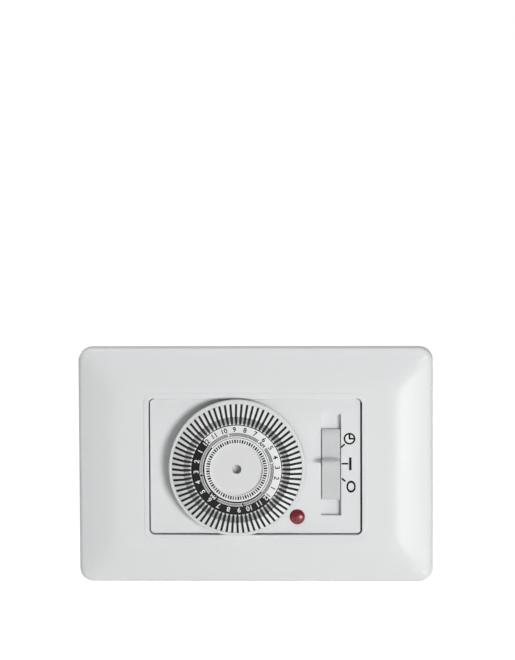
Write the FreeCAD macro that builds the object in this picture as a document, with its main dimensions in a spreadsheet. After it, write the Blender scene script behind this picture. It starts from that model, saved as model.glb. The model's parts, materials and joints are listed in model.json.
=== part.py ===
import FreeCAD, Part
import math
import os
import types

import Sketcher

# A flush wall time switch with a turning 24 hour dial, its push-back trip tabs and a three position
# selector. Millimetres, +Z up, front towards -Y. The origin is the centre of the plate on the wall
# plane. A rise is a distance out of the wall towards the room, so a negative rise lies in the wall box.

SIZES = [
    ("plate_width", 120.0, "cover plate, left to right"),
    ("plate_height", 80.0, "cover plate, bottom to top"),
    ("plate_corner", 4.7, "corner radius of the cover plate"),
    ("plate_edge", 6.0, "rise of the plate's outer edge"),
    ("plate_rise", 9.3, "rise of the flat round the window"),
    ("plate_wall", 2.0, "wall of the plate"),
    ("flat_side", 7.6, "flat between the raised band and the side slopes"),
    ("flat_end", 0.15, "flat between the raised band and the end slopes"),
    ("ridge_round", 2.0, "rounding of the ridges between the slopes"),
    ("flat_round", 3.0, "rounding between the flat and the slopes"),
    ("roof_step", 0.5, "inner step of the flat outside the slopes' tops"),
    ("edge_round", 1.8, "rounding of the plate's outer edge"),
    ("lip_width", 1.7, "raised band round the window"),
    ("lip_rise", 0.25, "how far that band stands up"),
    ("lip_round", 0.2, "rounding of the band"),
    ("window_gap", 0.35, "gap between window and bezel"),
    ("window_corner", 1.85, "corner radius of the window"),
    ("bezel_width", 71.5, "front bezel, left to right"),
    ("bezel_height", 46.0, "front bezel, bottom to top"),
    ("bezel_rise", 8.3, "rise of the bezel's face"),
    ("bezel_skin", 2.0, "thickness of the face"),
    ("bezel_wall", 1.8, "side wall of bezel and case"),
    ("bezel_corner", 1.5, "corner radius of bezel and case"),
    ("bezel_round", 0.35, "rounding of the face's edge"),
    ("frame_inset", 4.0, "edge of the support frame inside the plate's edge"),
    ("frame_thick", 1.5, "sheet of the support frame"),
    ("frame_corner", 4.0, "corner radius of the support frame"),
    ("frame_lap", 1.5, "how far the frame reaches under the bezel"),
    ("fixing_spacing", 83.5, "spacing of the two fixing slots"),
    ("fixing_radius", 2.1, "half the width of a fixing slot"),
    ("fixing_length", 8.0, "end to end length of a fixing slot"),
    ("clip_x", 30.0, "cover clips from the middle, sideways"),
    ("clip_end", 11.0, "cover clips from the plate's top and bottom edges"),
    ("clip_width", 8.0, "width of a clip"),
    ("clip_thick", 1.2, "thickness of a clip"),
    ("clip_hook", 0.7, "reach of a clip's hook"),
    ("clip_play", 0.4, "play of a clip in the frame"),
    ("clip_reach", 2.0, "how far the clips reach behind the wall plane"),
    ("hook_play", 0.15, "gap between the hooks and the frame"),
    ("case_depth", 31.0, "depth of the case behind the wall plane"),
    ("case_round", 1.0, "rounding of the case's back edge"),
    ("column_side", 5.15, "corner columns from the sides of the case"),
    ("column_end", 5.1, "corner columns from the top and bottom of the case"),
    ("column_radius", 3.4, "corner columns"),
    ("well_radius", 2.6, "screw wells in the corner columns"),
    ("well_floor", 7.0, "depth of the wells' floor behind the wall plane"),
    ("screw_radius", 1.2, "case screws"),
    ("screw_head", 2.3, "heads of the case screws"),
    ("well_spare", 0.4, "depth of their holes beyond them"),
    ("case_screw_head", 1.8, "thickness of those heads"),
    ("blade_slot", 0.8, "slots of the screw heads"),
    ("blade_depth", 0.8, "depth of those slots"),
    ("screw_reach", 5.0, "how far the case screws reach into the bezel"),
    ("dial_x", -6.1, "dial axis, sideways from the middle"),
    ("mouth_radius", 20.6, "round opening of the bezel behind the dial"),
    ("dial_float", 0.4, "gap between bezel face and dial"),
    ("drum_base", 1.5, "floor of the dial drum"),
    ("drum_radius", 22.3, "floor of the dial drum"),
    ("comb_outer", 18.0, "outside of the comb"),
    ("comb_inner", 15.45, "inside of the comb above the face"),
    ("comb_ledge", 14.4, "inside of the comb below the face"),
    ("comb_top", 7.8, "top of the comb above the bezel face"),
    ("print_radius", 15.35, "outside of the printed face"),
    ("print_top", 8.0, "printed face above the bezel face"),
    ("print_thick", 1.2, "thickness of the printed face"),
    ("rim_outer", 23.1, "outside of the white rim"),
    ("rim_inner", 22.02, "inside of the white rim"),
    ("rim_top", 5.3, "rim above the bezel face"),
    ("rim_float", 0.3, "gap between rim and cover plate"),
    ("tab_count", 72.0, "trip tabs round the dial, one each 20 minutes"),
    ("tab_first", -42.0, "angle of the midnight tab from +X"),
    ("tab_thick", 0.45, "blade of a tab"),
    ("tab_inner", 15.8, "inner end of a tab"),
    ("tab_outer", 21.8, "outer end of a tab's blade"),
    ("tab_crest", 8.3, "top of a tab above the bezel face"),
    ("tab_end", 5.45, "outer end of a tab above the bezel face"),
    ("head_inner", 18.1, "inner end of a tab's wide head"),
    ("head_outer", 21.95, "outer end of a tab's wide head"),
    ("head_narrow", 1.0, "width of the head at its inner end"),
    ("head_wide", 1.34, "width of the head at its outer end"),
    ("head_play", 0.2, "free height below a pushed head"),
    ("foot_outer", 19.4, "outer side of a tab's foot"),
    ("foot_reach", 1.1, "foot behind the bezel face"),
    ("tab_travel", 2.0, "how far a tab is pushed back"),
    ("slot_play", 0.1, "play each side of a tab in its slot"),
    ("hub_radius", 8.85, "turning hub"),
    ("hub_drop", 0.9, "hub below the printed face"),
    ("hub_thick", 1.5, "disc of the hub"),
    ("hub_hole", 1.55, "blind hole in the hub"),
    ("hub_hole_depth", 3.0, "depth of that hole"),
    ("hub_collar", 7.0, "collar of the hub"),
    ("axle_radius", 2.5, "dial axle"),
    ("running_play", 0.06, "play of a shaft in its hole, on the radius"),
    ("clip_ring", 4.4, "outside of the retaining clip"),
    ("clip_groove", 2.1, "groove of the retaining clip"),
    ("clip_sheet", 0.6, "sheet of the retaining clip"),
    ("clip_lift", 0.2, "groove above the drum's floor"),
    ("axle_tip", 0.25, "axle beyond its groove"),
    ("close_fit", 0.02, "play of pieces that grip each other"),
    ("boss_wall", 2.0, "boss of the movement plate round the axle"),
    ("pin_boss_wall", 1.0, "boss of the movement plate round the pin"),
    ("gear_module", 0.5, "module of all the gears"),
    ("dial_teeth", 60.0, "teeth of the dial gear"),
    ("pinion_teeth", 10.0, "teeth of both pinions"),
    ("wheel_teeth", 40.0, "teeth of the intermediate wheel"),
    ("tooth_play", 0.07, "thinning of each tooth flank"),
    ("dial_gear_back", 2.4, "rise of the dial gear's back"),
    ("dial_gear_thick", 2.0, "dial gear"),
    ("gear_seat", 0.2, "gap between the dial gear and the boss behind it"),
    ("gear_hub", 6.5, "hub of the dial gear"),
    ("clutch_height", 0.7, "sprung washer between gear and drum"),
    ("mesh_angle", 200.0, "direction from the dial to the intermediate gear"),
    ("wheel_back", 0.2, "rise of the intermediate wheel's back"),
    ("wheel_thick", 1.4, "intermediate wheel"),
    ("pinion_spare", 0.2, "pinion beyond the gear that it meets"),
    ("pin_radius", 0.8, "intermediate pin"),
    ("pin_tip", 0.35, "intermediate pin beyond the dial gear"),
    ("motor_angle", -5.0, "direction from the intermediate gear to the motor"),
    ("shaft_radius", 1.0, "motor shaft"),
    ("motor_play", 0.725, "gap between the motor can and the case wall"),
    ("motor_length", 14.0, "motor can"),
    ("motor_skin", 0.8, "sheet of the motor can"),
    ("coil_play", 0.3, "gap between coil and can"),
    ("coil_inner", 8.2, "bore of the motor coil"),
    ("bobbin_back", 1.2, "back flange of the coil's bobbin"),
    ("winding_depth", 0.8, "winding below the bobbin's flanges"),
    ("rotor_radius", 7.0, "motor rotor"),
    ("rotor_back", 1.5, "gap behind the rotor"),
    ("rotor_front", 2.0, "gap in front of the rotor"),
    ("movement_back", 3.0, "depth of the movement plate's back"),
    ("movement_thick", 1.5, "movement plate"),
    ("movement_right", 21.0, "right edge of the movement plate"),
    ("movement_play", 0.6, "gap between movement plate and case wall"),
    ("movement_corner", 10.9, "cut corners of the movement plate"),
    ("post_radius", 2.5, "posts under the movement plate"),
    ("post_bore", 0.95, "screw hole in the posts"),
    ("post_hole", 7.0, "depth of those holes"),
    ("post_in", 2.1, "left posts outside the columns"),
    ("post_down", 6.5, "left posts below and above the columns"),
    ("post_upper_x", 11.1, "upper right post from the dial axis"),
    ("post_upper_z", 1.9, "upper right post below the columns"),
    ("post_lower_x", 13.6, "lower right post from the dial axis"),
    ("post_lower_z", 1.4, "lower right post above the columns"),
    ("plate_screw", 0.9, "screws of the movement plate"),
    ("plate_screw_head", 1.8, "heads of those screws"),
    ("plate_screw_thick", 1.1, "thickness of those heads"),
    ("plate_screw_length", 6.0, "length of those screws"),
    ("now_angle", -7.0, "where the follower feels the tabs"),
    ("nose_radius", 17.7, "follower nose from the dial axis"),
    ("nose_gap", 0.3, "gap between nose and tab feet"),
    ("nose_width", 1.5, "follower nose"),
    ("pivot_x", 18.4, "follower pivot, sideways"),
    ("pivot_rise", 3.5, "follower pivot"),
    ("lever_width", 4.0, "follower lever"),
    ("lever_wall", 0.8, "hub of the follower round its trunnions"),
    ("lug_gap", 0.5, "gap between follower and lugs"),
    ("lug_thick", 1.5, "lugs that carry the trunnions"),
    ("arm_under", 1.3, "arm of the follower below its pivot"),
    ("arm_over", 0.7, "arm of the follower above its pivot"),
    ("trunnion_radius", 1.2, "trunnions of the follower"),
    ("plunger_x", 14.6, "switch plunger, sideways"),
    ("plunger_radius", 1.2, "switch plunger"),
    ("plunger_gap", 0.3, "gap between follower and plunger"),
    ("plunger_travel", 1.3, "travel of the plunger"),
    ("crosshead_depth", 3.5, "crosshead of the plunger behind the movement plate"),
    ("crosshead_thick", 1.0, "crosshead of the plunger"),
    ("contact_reach", 3.6, "contacts each side of the plunger"),
    ("contact_width", 2.2, "fixed contact strips"),
    ("rivet_radius", 0.9, "contact rivets"),
    ("rivet_height", 0.4, "contact rivets"),
    ("switch_depth", 15.0, "depth of the switch body's floor"),
    ("shelf_size", 4.0, "pillar under the switch body"),
    ("switch_wall", 1.5, "wall of the switch body"),
    ("switch_rise", 5.0, "right part of the switch body above the left part"),
    ("spring_wire", 0.35, "wire of the plunger spring"),
    ("spring_radius", 1.7, "plunger spring"),
    ("spring_turns", 6.0, "turns of the plunger spring"),
    ("spring_seat", 0.03, "play at each end of the plunger spring"),
    ("switch_half", 7.0, "half the height of the switch body"),
    ("switch_left", 8.2, "left side of the switch body"),
    ("switch_step", 21.4, "where the switch body steps up"),
    ("switch_right", 30.4, "right side of the switch body"),
    ("strip_thick", 0.5, "brass strips"),
    ("strip_width", 1.6, "brass strips under the wiper"),
    ("strip_pitch", 3.0, "spacing of those strips"),
    ("strip_foot", 3.0, "width of the strips' feet at the terminals"),
    ("strip_sunk", 2.0, "strips below the top of the clamps"),
    ("clock_tail", 8.0, "tail of the clock strip"),
    ("feed_top", 4.0, "feed strip above the switch body's floor"),
    ("wiper_thick", 0.3, "leaf of the wiper"),
    ("wiper_end", 1.0, "leaf of the wiper beyond its dimples"),
    ("dimple_radius", 0.5, "dimples of the wiper"),
    ("dimple_gap", 0.05, "gap below the dimples"),
    ("lens_x", 14.1, "neon lens, sideways"),
    ("lens_end", 5.7, "neon lens from the bezel's bottom edge"),
    ("lens_radius", 2.55, "neon lens"),
    ("lens_dome", 1.2, "dome of the lens"),
    ("lens_flange", 3.3, "flange of the lens behind the face"),
    ("lens_rim", 0.6, "flange of the lens"),
    ("lens_skin", 0.9, "crown of the lens above its bore"),
    ("lamp_radius", 1.8, "neon lamp"),
    ("lamp_play", 0.2, "play of the lamp in the lens"),
    ("lamp_tip", 1.2, "tip of the lamp below the bezel face"),
    ("slider_x", 25.6, "selector, sideways"),
    ("slider_z", 0.5, "selector's middle position"),
    ("slider_width", 6.3, "selector slider"),
    ("slider_length", 24.1, "selector slider"),
    ("slider_thick", 1.8, "selector slider"),
    ("slider_sunk", 0.1, "slider below the bezel face"),
    ("slider_travel", 5.0, "travel of the selector each way"),
    ("recess_play", 0.25, "play of the slider in its recess"),
    ("recess_depth", 2.1, "recess of the selector"),
    ("recess_floor", 1.5, "floor of that recess"),
    ("pan_wall", 1.0, "walls of that recess behind the face"),
    ("slider_corner", 0.4, "corners of the slider"),
    ("fin_height", 3.5, "grip fin of the slider"),
    ("fin_thick", 1.5, "grip fin of the slider"),
    ("fin_up", 0.25, "fin above the slider's middle"),
    ("fin_round", 0.45, "rounding of the fin"),
    ("stem_width", 1.8, "stem of the slider"),
    ("stem_length", 3.6, "stem of the slider"),
    ("stem_play", 0.2, "play of the stem in its slot"),
    ("stem_spare", 0.15, "slot beyond the travel of the stem"),
    ("carriage_half", 7.0, "half the length of the carriage"),
    ("carriage_width", 6.0, "carriage behind the slider"),
    ("carriage_thick", 3.2, "carriage behind the slider"),
    ("carriage_gap", 0.3, "gap between carriage and recess"),
    ("notch_depth", 1.0, "notches of the carriage"),
    ("notch_half", 1.2, "half the mouth of a notch"),
    ("rail_thick", 0.8, "rail beside the carriage"),
    ("rail_short", 0.4, "rail above the back of the carriage"),
    ("rail_spare", 0.5, "rail beyond the travel of the carriage"),
    ("detent_thick", 0.4, "leaf of the detent spring"),
    ("detent_gap", 0.3, "gap between the detent spring and the case wall"),
    ("detent_side", 0.5, "detent spring inside the faces of the carriage"),
    ("clamp_pitch", 10.0, "spacing of the terminals in a pair"),
    ("clamp_pair_x", -7.0, "middle of the left pair of terminals"),
    ("clamp_pair_step", 24.0, "from the left pair to the right pair"),
    ("clamp_width", 6.4, "terminal clamp"),
    ("clamp_length", 8.0, "terminal clamp"),
    ("clamp_height", 8.0, "terminal clamp"),
    ("rib_thick", 0.8, "ribs beside the terminal clamps"),
    ("wire_radius", 1.9, "wire hole of a clamp"),
    ("wire_depth", 4.0, "wire hole from the case floor"),
    ("wire_entry", 2.3, "wire hole in the case wall"),
    ("terminal_radius", 1.1, "terminal screws"),
    ("terminal_head", 2.3, "heads of the terminal screws"),
    ("terminal_seat", 0.1, "gap between those heads and the clamps"),
    ("terminal_sunk", 0.2, "heads below the back of the case"),
    ("terminal_hole", 2.8, "holes in the case for those heads"),
]


class Span:
    """A length that knows its value and the sheet expression that gives it."""

    def __init__(self, value, text):
        self.value = value
        self.text = text

    def __add__(self, other):
        return Span(self.value + value_of(other), f"({self.text} + {text_of(other)})")

    def __sub__(self, other):
        return Span(self.value - value_of(other), f"({self.text} - {text_of(other)})")

    def __mul__(self, other):
        return Span(self.value * value_of(other), f"({self.text} * {text_of(other)})")

    def __truediv__(self, other):
        return Span(self.value / value_of(other), f"({self.text} / {text_of(other)})")

    def __neg__(self):
        return Span(-self.value, f"(0 - {self.text})")

    def __radd__(self, other):
        return Span(value_of(other) + self.value, f"({text_of(other)} + {self.text})")

    def __rsub__(self, other):
        return Span(value_of(other) - self.value, f"({text_of(other)} - {self.text})")

    def __rmul__(self, other):
        return self * other


def value_of(span):
    return span.value if isinstance(span, Span) else float(span)


def text_of(span):
    return span.text if isinstance(span, Span) else repr(float(span))


def cosine(angle):
    return Span(math.cos(math.radians(value_of(angle))), f"cos({text_of(angle)} * 1 deg)")


def sine(angle):
    return Span(math.sin(math.radians(value_of(angle))), f"sin({text_of(angle)} * 1 deg)")


doc = FreeCAD.newDocument("time_switch")
sheet = doc.addObject("Spreadsheet::Sheet", "Sizes")
for row, (alias, value, note) in enumerate(SIZES, start=1):
    sheet.set(f"A{row}", alias)
    sheet.set(f"B{row}", str(value))
    sheet.setAlias(f"B{row}", alias)
    sheet.set(f"C{row}", note)
doc.recompute()
d = types.SimpleNamespace(**{alias: Span(value, f"Sizes.{alias}") for alias, value, note in SIZES})

# Pieces that are fused into one reach this far into each other.
JOIN = 0.2

SUBPARTS = []


# Plain solids


def bind(item, prop, span):
    item.setExpression(prop, text_of(span))


def place(item, x, y, z):
    for axis, span in zip("xyz", (x, y, z)):
        bind(item, f"Placement.Base.{axis}", span)
    return item


def block(name, x0, x1, z0, z1, back, front):
    """A box between two X, two Z and two rises."""
    item = doc.addObject("Part::Box", name)
    bind(item, "Length", x1 - x0)
    bind(item, "Width", front - back)
    bind(item, "Height", z1 - z0)
    return place(item, x0, 0 - front, z0)


def rod(name, x, z, radius, back, front):
    """A round bar square to the wall between two rises."""
    item = doc.addObject("Part::Cylinder", name)
    bind(item, "Radius", radius)
    bind(item, "Height", front - back)
    item.Placement = FreeCAD.Placement(FreeCAD.Vector(), FreeCAD.Rotation(FreeCAD.Vector(1, 0, 0), -90))
    return place(item, x, 0 - front, z)


def upright(name, x, rise, radius, z0, z1):
    """A round bar along Z."""
    item = doc.addObject("Part::Cylinder", name)
    bind(item, "Radius", radius)
    bind(item, "Height", z1 - z0)
    return place(item, x, 0 - rise, z0)


def fuse(name, items):
    item = doc.addObject("Part::MultiFuse", name)
    item.Shapes = items
    return item


def cut(name, base, tool):
    item = doc.addObject("Part::Cut", name)
    item.Base = base
    item.Tool = tool
    return item


def group(name, items):
    item = doc.addObject("Part::Compound", name)
    item.Links = items
    return item


def subpart(item, name):
    """Give the finished piece its name, which also names its file."""
    item.Label = name
    SUBPARTS.append(item)
    return item


# Sketched bodies


def new_body(name):
    return doc.addObject("PartDesign::Body", name + "_body")


def sketch(owner, name, lift=0.0, role="XZ_Plane"):
    """A sketch on one of the body's own planes. On XZ_Plane the lift is a rise."""
    item = owner.newObject("Sketcher::SketchObject", name)
    item.AttachmentSupport = [(plane_of(owner, role), "")]
    item.MapMode = "FlatFace"
    bind(item, "AttachmentOffset.Base.z", lift)
    return item


def plane_of(owner, role):
    return next(f for f in owner.Origin.OriginFeatures if f.Role == role)


def fix(item, kind, *where, span):
    """One dimension of a sketch, bound to its span."""
    index = item.addConstraint(Sketcher.Constraint(kind, *where, value_of(span)))
    item.setExpression(f"Constraints[{index}]", text_of(span))


def pin_point(item, curve, end, x, y):
    fix(item, "DistanceX", -1, 1, curve, end, span=x)
    fix(item, "DistanceY", -1, 1, curve, end, span=y)


def polygon(item, points):
    """A closed outline of straight sides, each corner bound to the sheet."""
    spots = [FreeCAD.Vector(value_of(x), value_of(y), 0) for x, y in points]
    sides = [
        item.addGeometry(Part.LineSegment(spot, spots[(k + 1) % len(spots)]), False)
        for k, spot in enumerate(spots)
    ]
    for k, side in enumerate(sides):
        item.addConstraint(Sketcher.Constraint("Coincident", side, 2, sides[(k + 1) % len(sides)], 1))
        pin_point(item, side, 1, *points[k])
    return item


def rectangle(item, x0, x1, z0, z1):
    return polygon(item, [(x0, z0), (x1, z0), (x1, z1), (x0, z1)])


def centred(item, width, height, x=0.0, z=0.0):
    return rectangle(item, x - width / 2, x + width / 2, z - height / 2, z + height / 2)


def circle(item, x, z, radius):
    centre = FreeCAD.Vector(value_of(x), value_of(z), 0)
    curve = item.addGeometry(Part.Circle(centre, FreeCAD.Vector(0, 0, 1), value_of(radius)), False)
    pin_point(item, curve, 3, x, z)
    fix(item, "Radius", curve, span=radius)
    return item


def pad(owner, name, profile, length, both_ways=False):
    item = owner.newObject("PartDesign::Pad", name)
    item.Profile = profile
    item.Midplane = both_ways
    bind(item, "Length", length)
    doc.recompute()
    return item


def pocket(owner, name, profile, length=None, from_behind=False):
    """Cut a sketch out of the body, to a depth or right through, and see that it cut something."""
    before = owner.Shape.Volume
    item = owner.newObject("PartDesign::Pocket", name)
    item.Profile = profile
    item.Reversed = from_behind
    if length is None:
        item.Type = 1
        item.Midplane = True
    else:
        bind(item, "Length", length)
    doc.recompute()
    if owner.Shape.Volume >= before:
        raise RuntimeError(f"{name} cuts nothing")
    return item


def revolve(owner, name, points):
    """Turn an outline of (radius, rise) points about the body's Y axis."""
    profile = sketch(owner, name + "_outline", role="XY_Plane")
    polygon(profile, [(radius, 0 - rise) for radius, rise in points])
    item = owner.newObject("PartDesign::Revolution", name)
    item.Profile = profile
    item.ReferenceAxis = (profile, ["V_Axis"])
    item.Angle = 360
    doc.recompute()
    return item


def blend(owner, name, feature, radius, wanted):
    """Round the edges of a feature that the test picks."""
    names = [f"Edge{k}" for k, edge in enumerate(feature.Shape.Edges, start=1) if wanted(edge)]
    item = owner.newObject("PartDesign::Fillet", name)
    item.Base = (feature, names)
    bind(item, "Radius", radius)
    doc.recompute()
    return item


def runs_along(edge, axis, tolerance=1e-4):
    """Whether an edge is straight and parallel to an axis."""
    if len(edge.Vertexes) != 2 or edge.Curve.TypeId != "Part::GeomLine":
        return False
    step = edge.Vertexes[1].Point - edge.Vertexes[0].Point
    return step.Length > tolerance and step.cross(axis).Length < tolerance * step.Length


def reach(edge):
    """How far an edge's box reaches from the middle, sideways and upwards."""
    box = edge.BoundBox
    return max(abs(box.XMin), abs(box.XMax)), max(abs(box.ZMin), abs(box.ZMax))


def rises(edge):
    box = edge.BoundBox
    return -box.YMax, -box.YMin


def near(a, b, tolerance=0.01):
    return abs(a - value_of(b)) < tolerance


OUT = FreeCAD.Vector(0, 1, 0)
QUARTERS = [(-1, -1), (1, -1), (1, 1), (-1, 1)]


# Places that several pieces share

window_width = d.bezel_width + d.window_gap * 2
window_height = d.bezel_height + d.window_gap * 2
lip_top = d.plate_rise + d.lip_rise
lip_wide = window_width + d.lip_width * 2
lip_high = window_height + d.lip_width * 2
slope_side = (d.plate_width - lip_wide) / 2 - d.flat_side
slope_end = (d.plate_height - lip_high) / 2 - d.flat_end
clip_z = d.plate_height / 2 - d.clip_end
column_x = d.bezel_width / 2 - d.column_side
column_z = d.bezel_height / 2 - d.column_end
lens_z = d.lens_end - d.bezel_height / 2
inner_width = d.bezel_width - d.bezel_wall * 2
inner_height = d.bezel_height - d.bezel_wall * 2
skin_back = d.bezel_rise - d.bezel_skin
drum_back = d.bezel_rise + d.dial_float
drum_floor = drum_back + d.drum_base
face_top = d.bezel_rise + d.print_top
face_back = face_top - d.print_thick
hub_top = face_top - d.hub_drop
hub_back = hub_top - d.hub_thick
foot_rest = d.bezel_rise - d.foot_reach
movement_front = d.movement_thick - d.movement_back
case_floor = d.bezel_wall - d.case_depth
dial_pitch = d.gear_module * d.dial_teeth / 2
pinion_pitch = d.gear_module * d.pinion_teeth / 2
wheel_pitch = d.gear_module * d.wheel_teeth / 2
mid_x = d.dial_x + (dial_pitch + pinion_pitch) * cosine(d.mesh_angle)
mid_z = (dial_pitch + pinion_pitch) * sine(d.mesh_angle)
motor_x = mid_x + (wheel_pitch + pinion_pitch) * cosine(d.motor_angle)
motor_z = mid_z + (wheel_pitch + pinion_pitch) * sine(d.motor_angle)
motor_radius = inner_height / 2 + motor_z - d.motor_play
coil_outer = motor_radius - d.motor_skin - d.coil_play
nose_x = d.dial_x + d.nose_radius * cosine(d.now_angle)
nose_z = d.nose_radius * sine(d.now_angle)
recess_back = d.bezel_rise - d.recess_depth
pan_back = recess_back - d.recess_floor
carriage_top = pan_back - d.carriage_gap
carriage_back = carriage_top - d.carriage_thick
block_top = carriage_back - d.strip_thick * 2
crosshead_back = 0 - d.movement_back - d.crosshead_depth
bridge_back = crosshead_back - d.strip_thick
contact_top = bridge_back - d.rivet_height - d.plunger_travel - d.slot_play
TERMINALS = [
    d.clamp_pair_x + d.clamp_pair_step * pair + d.clamp_pitch * side
    for pair in (0, 1)
    for side in (-0.5, 0.5)
]
clamp_top = inner_height / 2
clamp_back = case_floor


# Housing


def make_cover_plate():
    """A thin moulded plate: flat round the window, sloping to its edges, with four clips behind."""
    body = new_body("cover_plate")
    half_wide = d.plate_width / 2
    half_high = d.plate_height / 2
    outline = centred(sketch(body, "slab_outline"), d.plate_width, d.plate_height)
    slab = pad(body, "slab", outline, d.plate_rise)
    corners = blend(body, "plate_corners", slab, d.plate_corner, lambda e: runs_along(e, OUT))
    fall = d.plate_rise - d.plate_edge
    for label, role, half, width in (
        ("side", "XY_Plane", half_wide, slope_side),
        ("end", "YZ_Plane", half_high, slope_end),
    ):
        profile = sketch(body, label + "_slope_outline", role=role)
        for sign in (-1, 1):
            low = (half + 1) * sign
            top = (half - width) * sign
            drop = d.plate_edge - fall / width
            points = [(top, d.plate_rise), (low, drop), (low, d.plate_rise + 1), (top, d.plate_rise + 1)]
            if role == "XY_Plane":
                polygon(profile, [(x, 0 - rise) for x, rise in points])
            else:
                polygon(profile, [(0 - rise, z) for z, rise in points])
        slope = pocket(body, label + "_slope", profile)
    ridges = blend(body, "plate_ridges", slope, d.ridge_round, lambda e: is_ridge(e))
    flats = blend(body, "plate_flats", ridges, d.flat_round, lambda e: is_flat_edge(e))
    rim = blend(body, "plate_rim", flats, d.edge_round, lambda e: on_outer_edge(e))
    lip = centred(sketch(body, "lip_outline", d.plate_rise - d.lip_rise), lip_wide, lip_high)
    band = pad(body, "lip", lip, d.lip_rise * 2)
    round_radius = d.window_corner + d.lip_width
    band_corners = blend(
        body, "lip_corners", band, round_radius, lambda e: is_corner(e, lip_wide, lip_high, lip_top)
    )
    blend(body, "lip_edge", band_corners, d.lip_round, lambda e: near(rises(e)[0], lip_top))
    hollow = centred(
        sketch(body, "hollow_outline"), d.plate_width - d.plate_wall * 2, d.plate_height - d.plate_wall * 2
    )
    pocket(body, "hollow", hollow, d.plate_edge - d.plate_wall, from_behind=True)
    roof = centred(
        sketch(body, "roof_outline"),
        d.plate_width - (slope_side + d.roof_step) * 2,
        d.plate_height - (slope_end + d.roof_step) * 2,
    )
    pocket(body, "roof", roof, d.plate_rise - d.plate_wall, from_behind=True)
    window = pocket(body, "window", centred(sketch(body, "window_outline"), window_width, window_height))
    window_corners = blend(
        body, "window_corners", window, d.window_corner, lambda e: is_corner(e, window_width, window_height)
    )
    blend(body, "window_edge", window_corners, d.lip_round, lambda e: on_window_edge(e))
    clips = sketch(body, "clip_outline", 0 - d.clip_reach)
    hooks = sketch(body, "hook_outline", 0 - d.frame_thick)
    for across, up in QUARTERS:
        near_z = (clip_z - d.clip_thick / 2) * up
        far_z = (clip_z + d.clip_thick / 2) * up
        hook_z = (clip_z + d.clip_thick / 2 + d.clip_hook) * up
        left = d.clip_x * across - d.clip_width / 2
        right = d.clip_x * across + d.clip_width / 2
        rectangle(clips, left, right, near_z, far_z)
        rectangle(hooks, left, right, near_z, hook_z)
    pad(body, "clips", clips, d.clip_reach + d.plate_rise - d.plate_wall)
    pad(body, "hooks", hooks, d.frame_thick - d.hook_play)
    return subpart(body, "cover_plate")


def is_corner(edge, width, height, top=None):
    """The upright edges at the corners of a rectangle, or only those that end at a given rise."""
    across, up = reach(edge)
    placed = near(across, width / 2) and near(up, height / 2)
    return runs_along(edge, OUT) and placed and (top is None or near(rises(edge)[1], top))


def on_window_edge(edge):
    """The front edge of the window's wall."""
    across, up = reach(edge)
    inside = across < value_of(window_width) / 2 + 0.1 and up < value_of(window_height) / 2 + 0.1
    return inside and near(rises(edge)[0], lip_top)


def is_ridge(edge):
    """The four mitred ridges run down from the flat to the corners."""
    low, high = rises(edge)
    across, up = reach(edge)
    return high - low > 1 and near(high, d.plate_rise) and up > value_of(d.plate_height) * 0.4


def is_flat_edge(edge):
    """The four long edges between the flat and the slopes."""
    return near(rises(edge)[0], d.plate_rise) and edge.Length > value_of(d.plate_corner) * 2


def on_outer_edge(edge):
    """The edge between the slopes and the plate's upright sides."""
    low, high = rises(edge)
    across, up = reach(edge)
    outside = near(across, d.plate_width / 2, 0.3) or near(up, d.plate_height / 2, 0.3)
    return outside and low > value_of(d.plate_edge) - 1.5 and high < value_of(d.plate_edge) + 1.5


def make_support_frame():
    """A sheet steel frame with two fixing slots and four windows for the cover clips."""
    body = new_body("support_frame")
    outline = centred(
        sketch(body, "frame_outline"), d.plate_width - d.frame_inset * 2, d.plate_height - d.frame_inset * 2
    )
    sheet_pad = pad(body, "frame_sheet", outline, d.frame_thick)
    blend(body, "frame_corners", sheet_pad, d.frame_corner, lambda e: runs_along(e, OUT))
    opening = centred(
        sketch(body, "frame_opening_outline", d.frame_thick),
        d.bezel_width - d.frame_lap * 2,
        d.bezel_height - d.frame_lap * 2,
    )
    pocket(body, "frame_opening", opening, d.frame_thick + 1)
    ends = sketch(body, "slot_ends", d.frame_thick)
    middles = sketch(body, "slot_middles", d.frame_thick)
    straight = d.fixing_length / 2 - d.fixing_radius
    for side in (-1, 1):
        x = d.fixing_spacing / 2 * side
        circle(ends, x - straight, 0.0, d.fixing_radius)
        circle(ends, x + straight, 0.0, d.fixing_radius)
        rectangle(middles, x - straight, x + straight, 0 - d.fixing_radius, d.fixing_radius)
    pocket(body, "fixing_slot_ends", ends, d.frame_thick + 1)
    pocket(body, "fixing_slots", middles, d.frame_thick + 1)
    windows = sketch(body, "clip_windows_outline", d.frame_thick)
    for across, up in QUARTERS:
        centred(
            windows,
            d.clip_width + d.clip_play * 2,
            d.clip_thick + d.clip_play * 2,
            d.clip_x * across,
            clip_z * up,
        )
    pocket(body, "clip_windows", windows, d.frame_thick + 1)
    return subpart(body, "support_frame")


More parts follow.
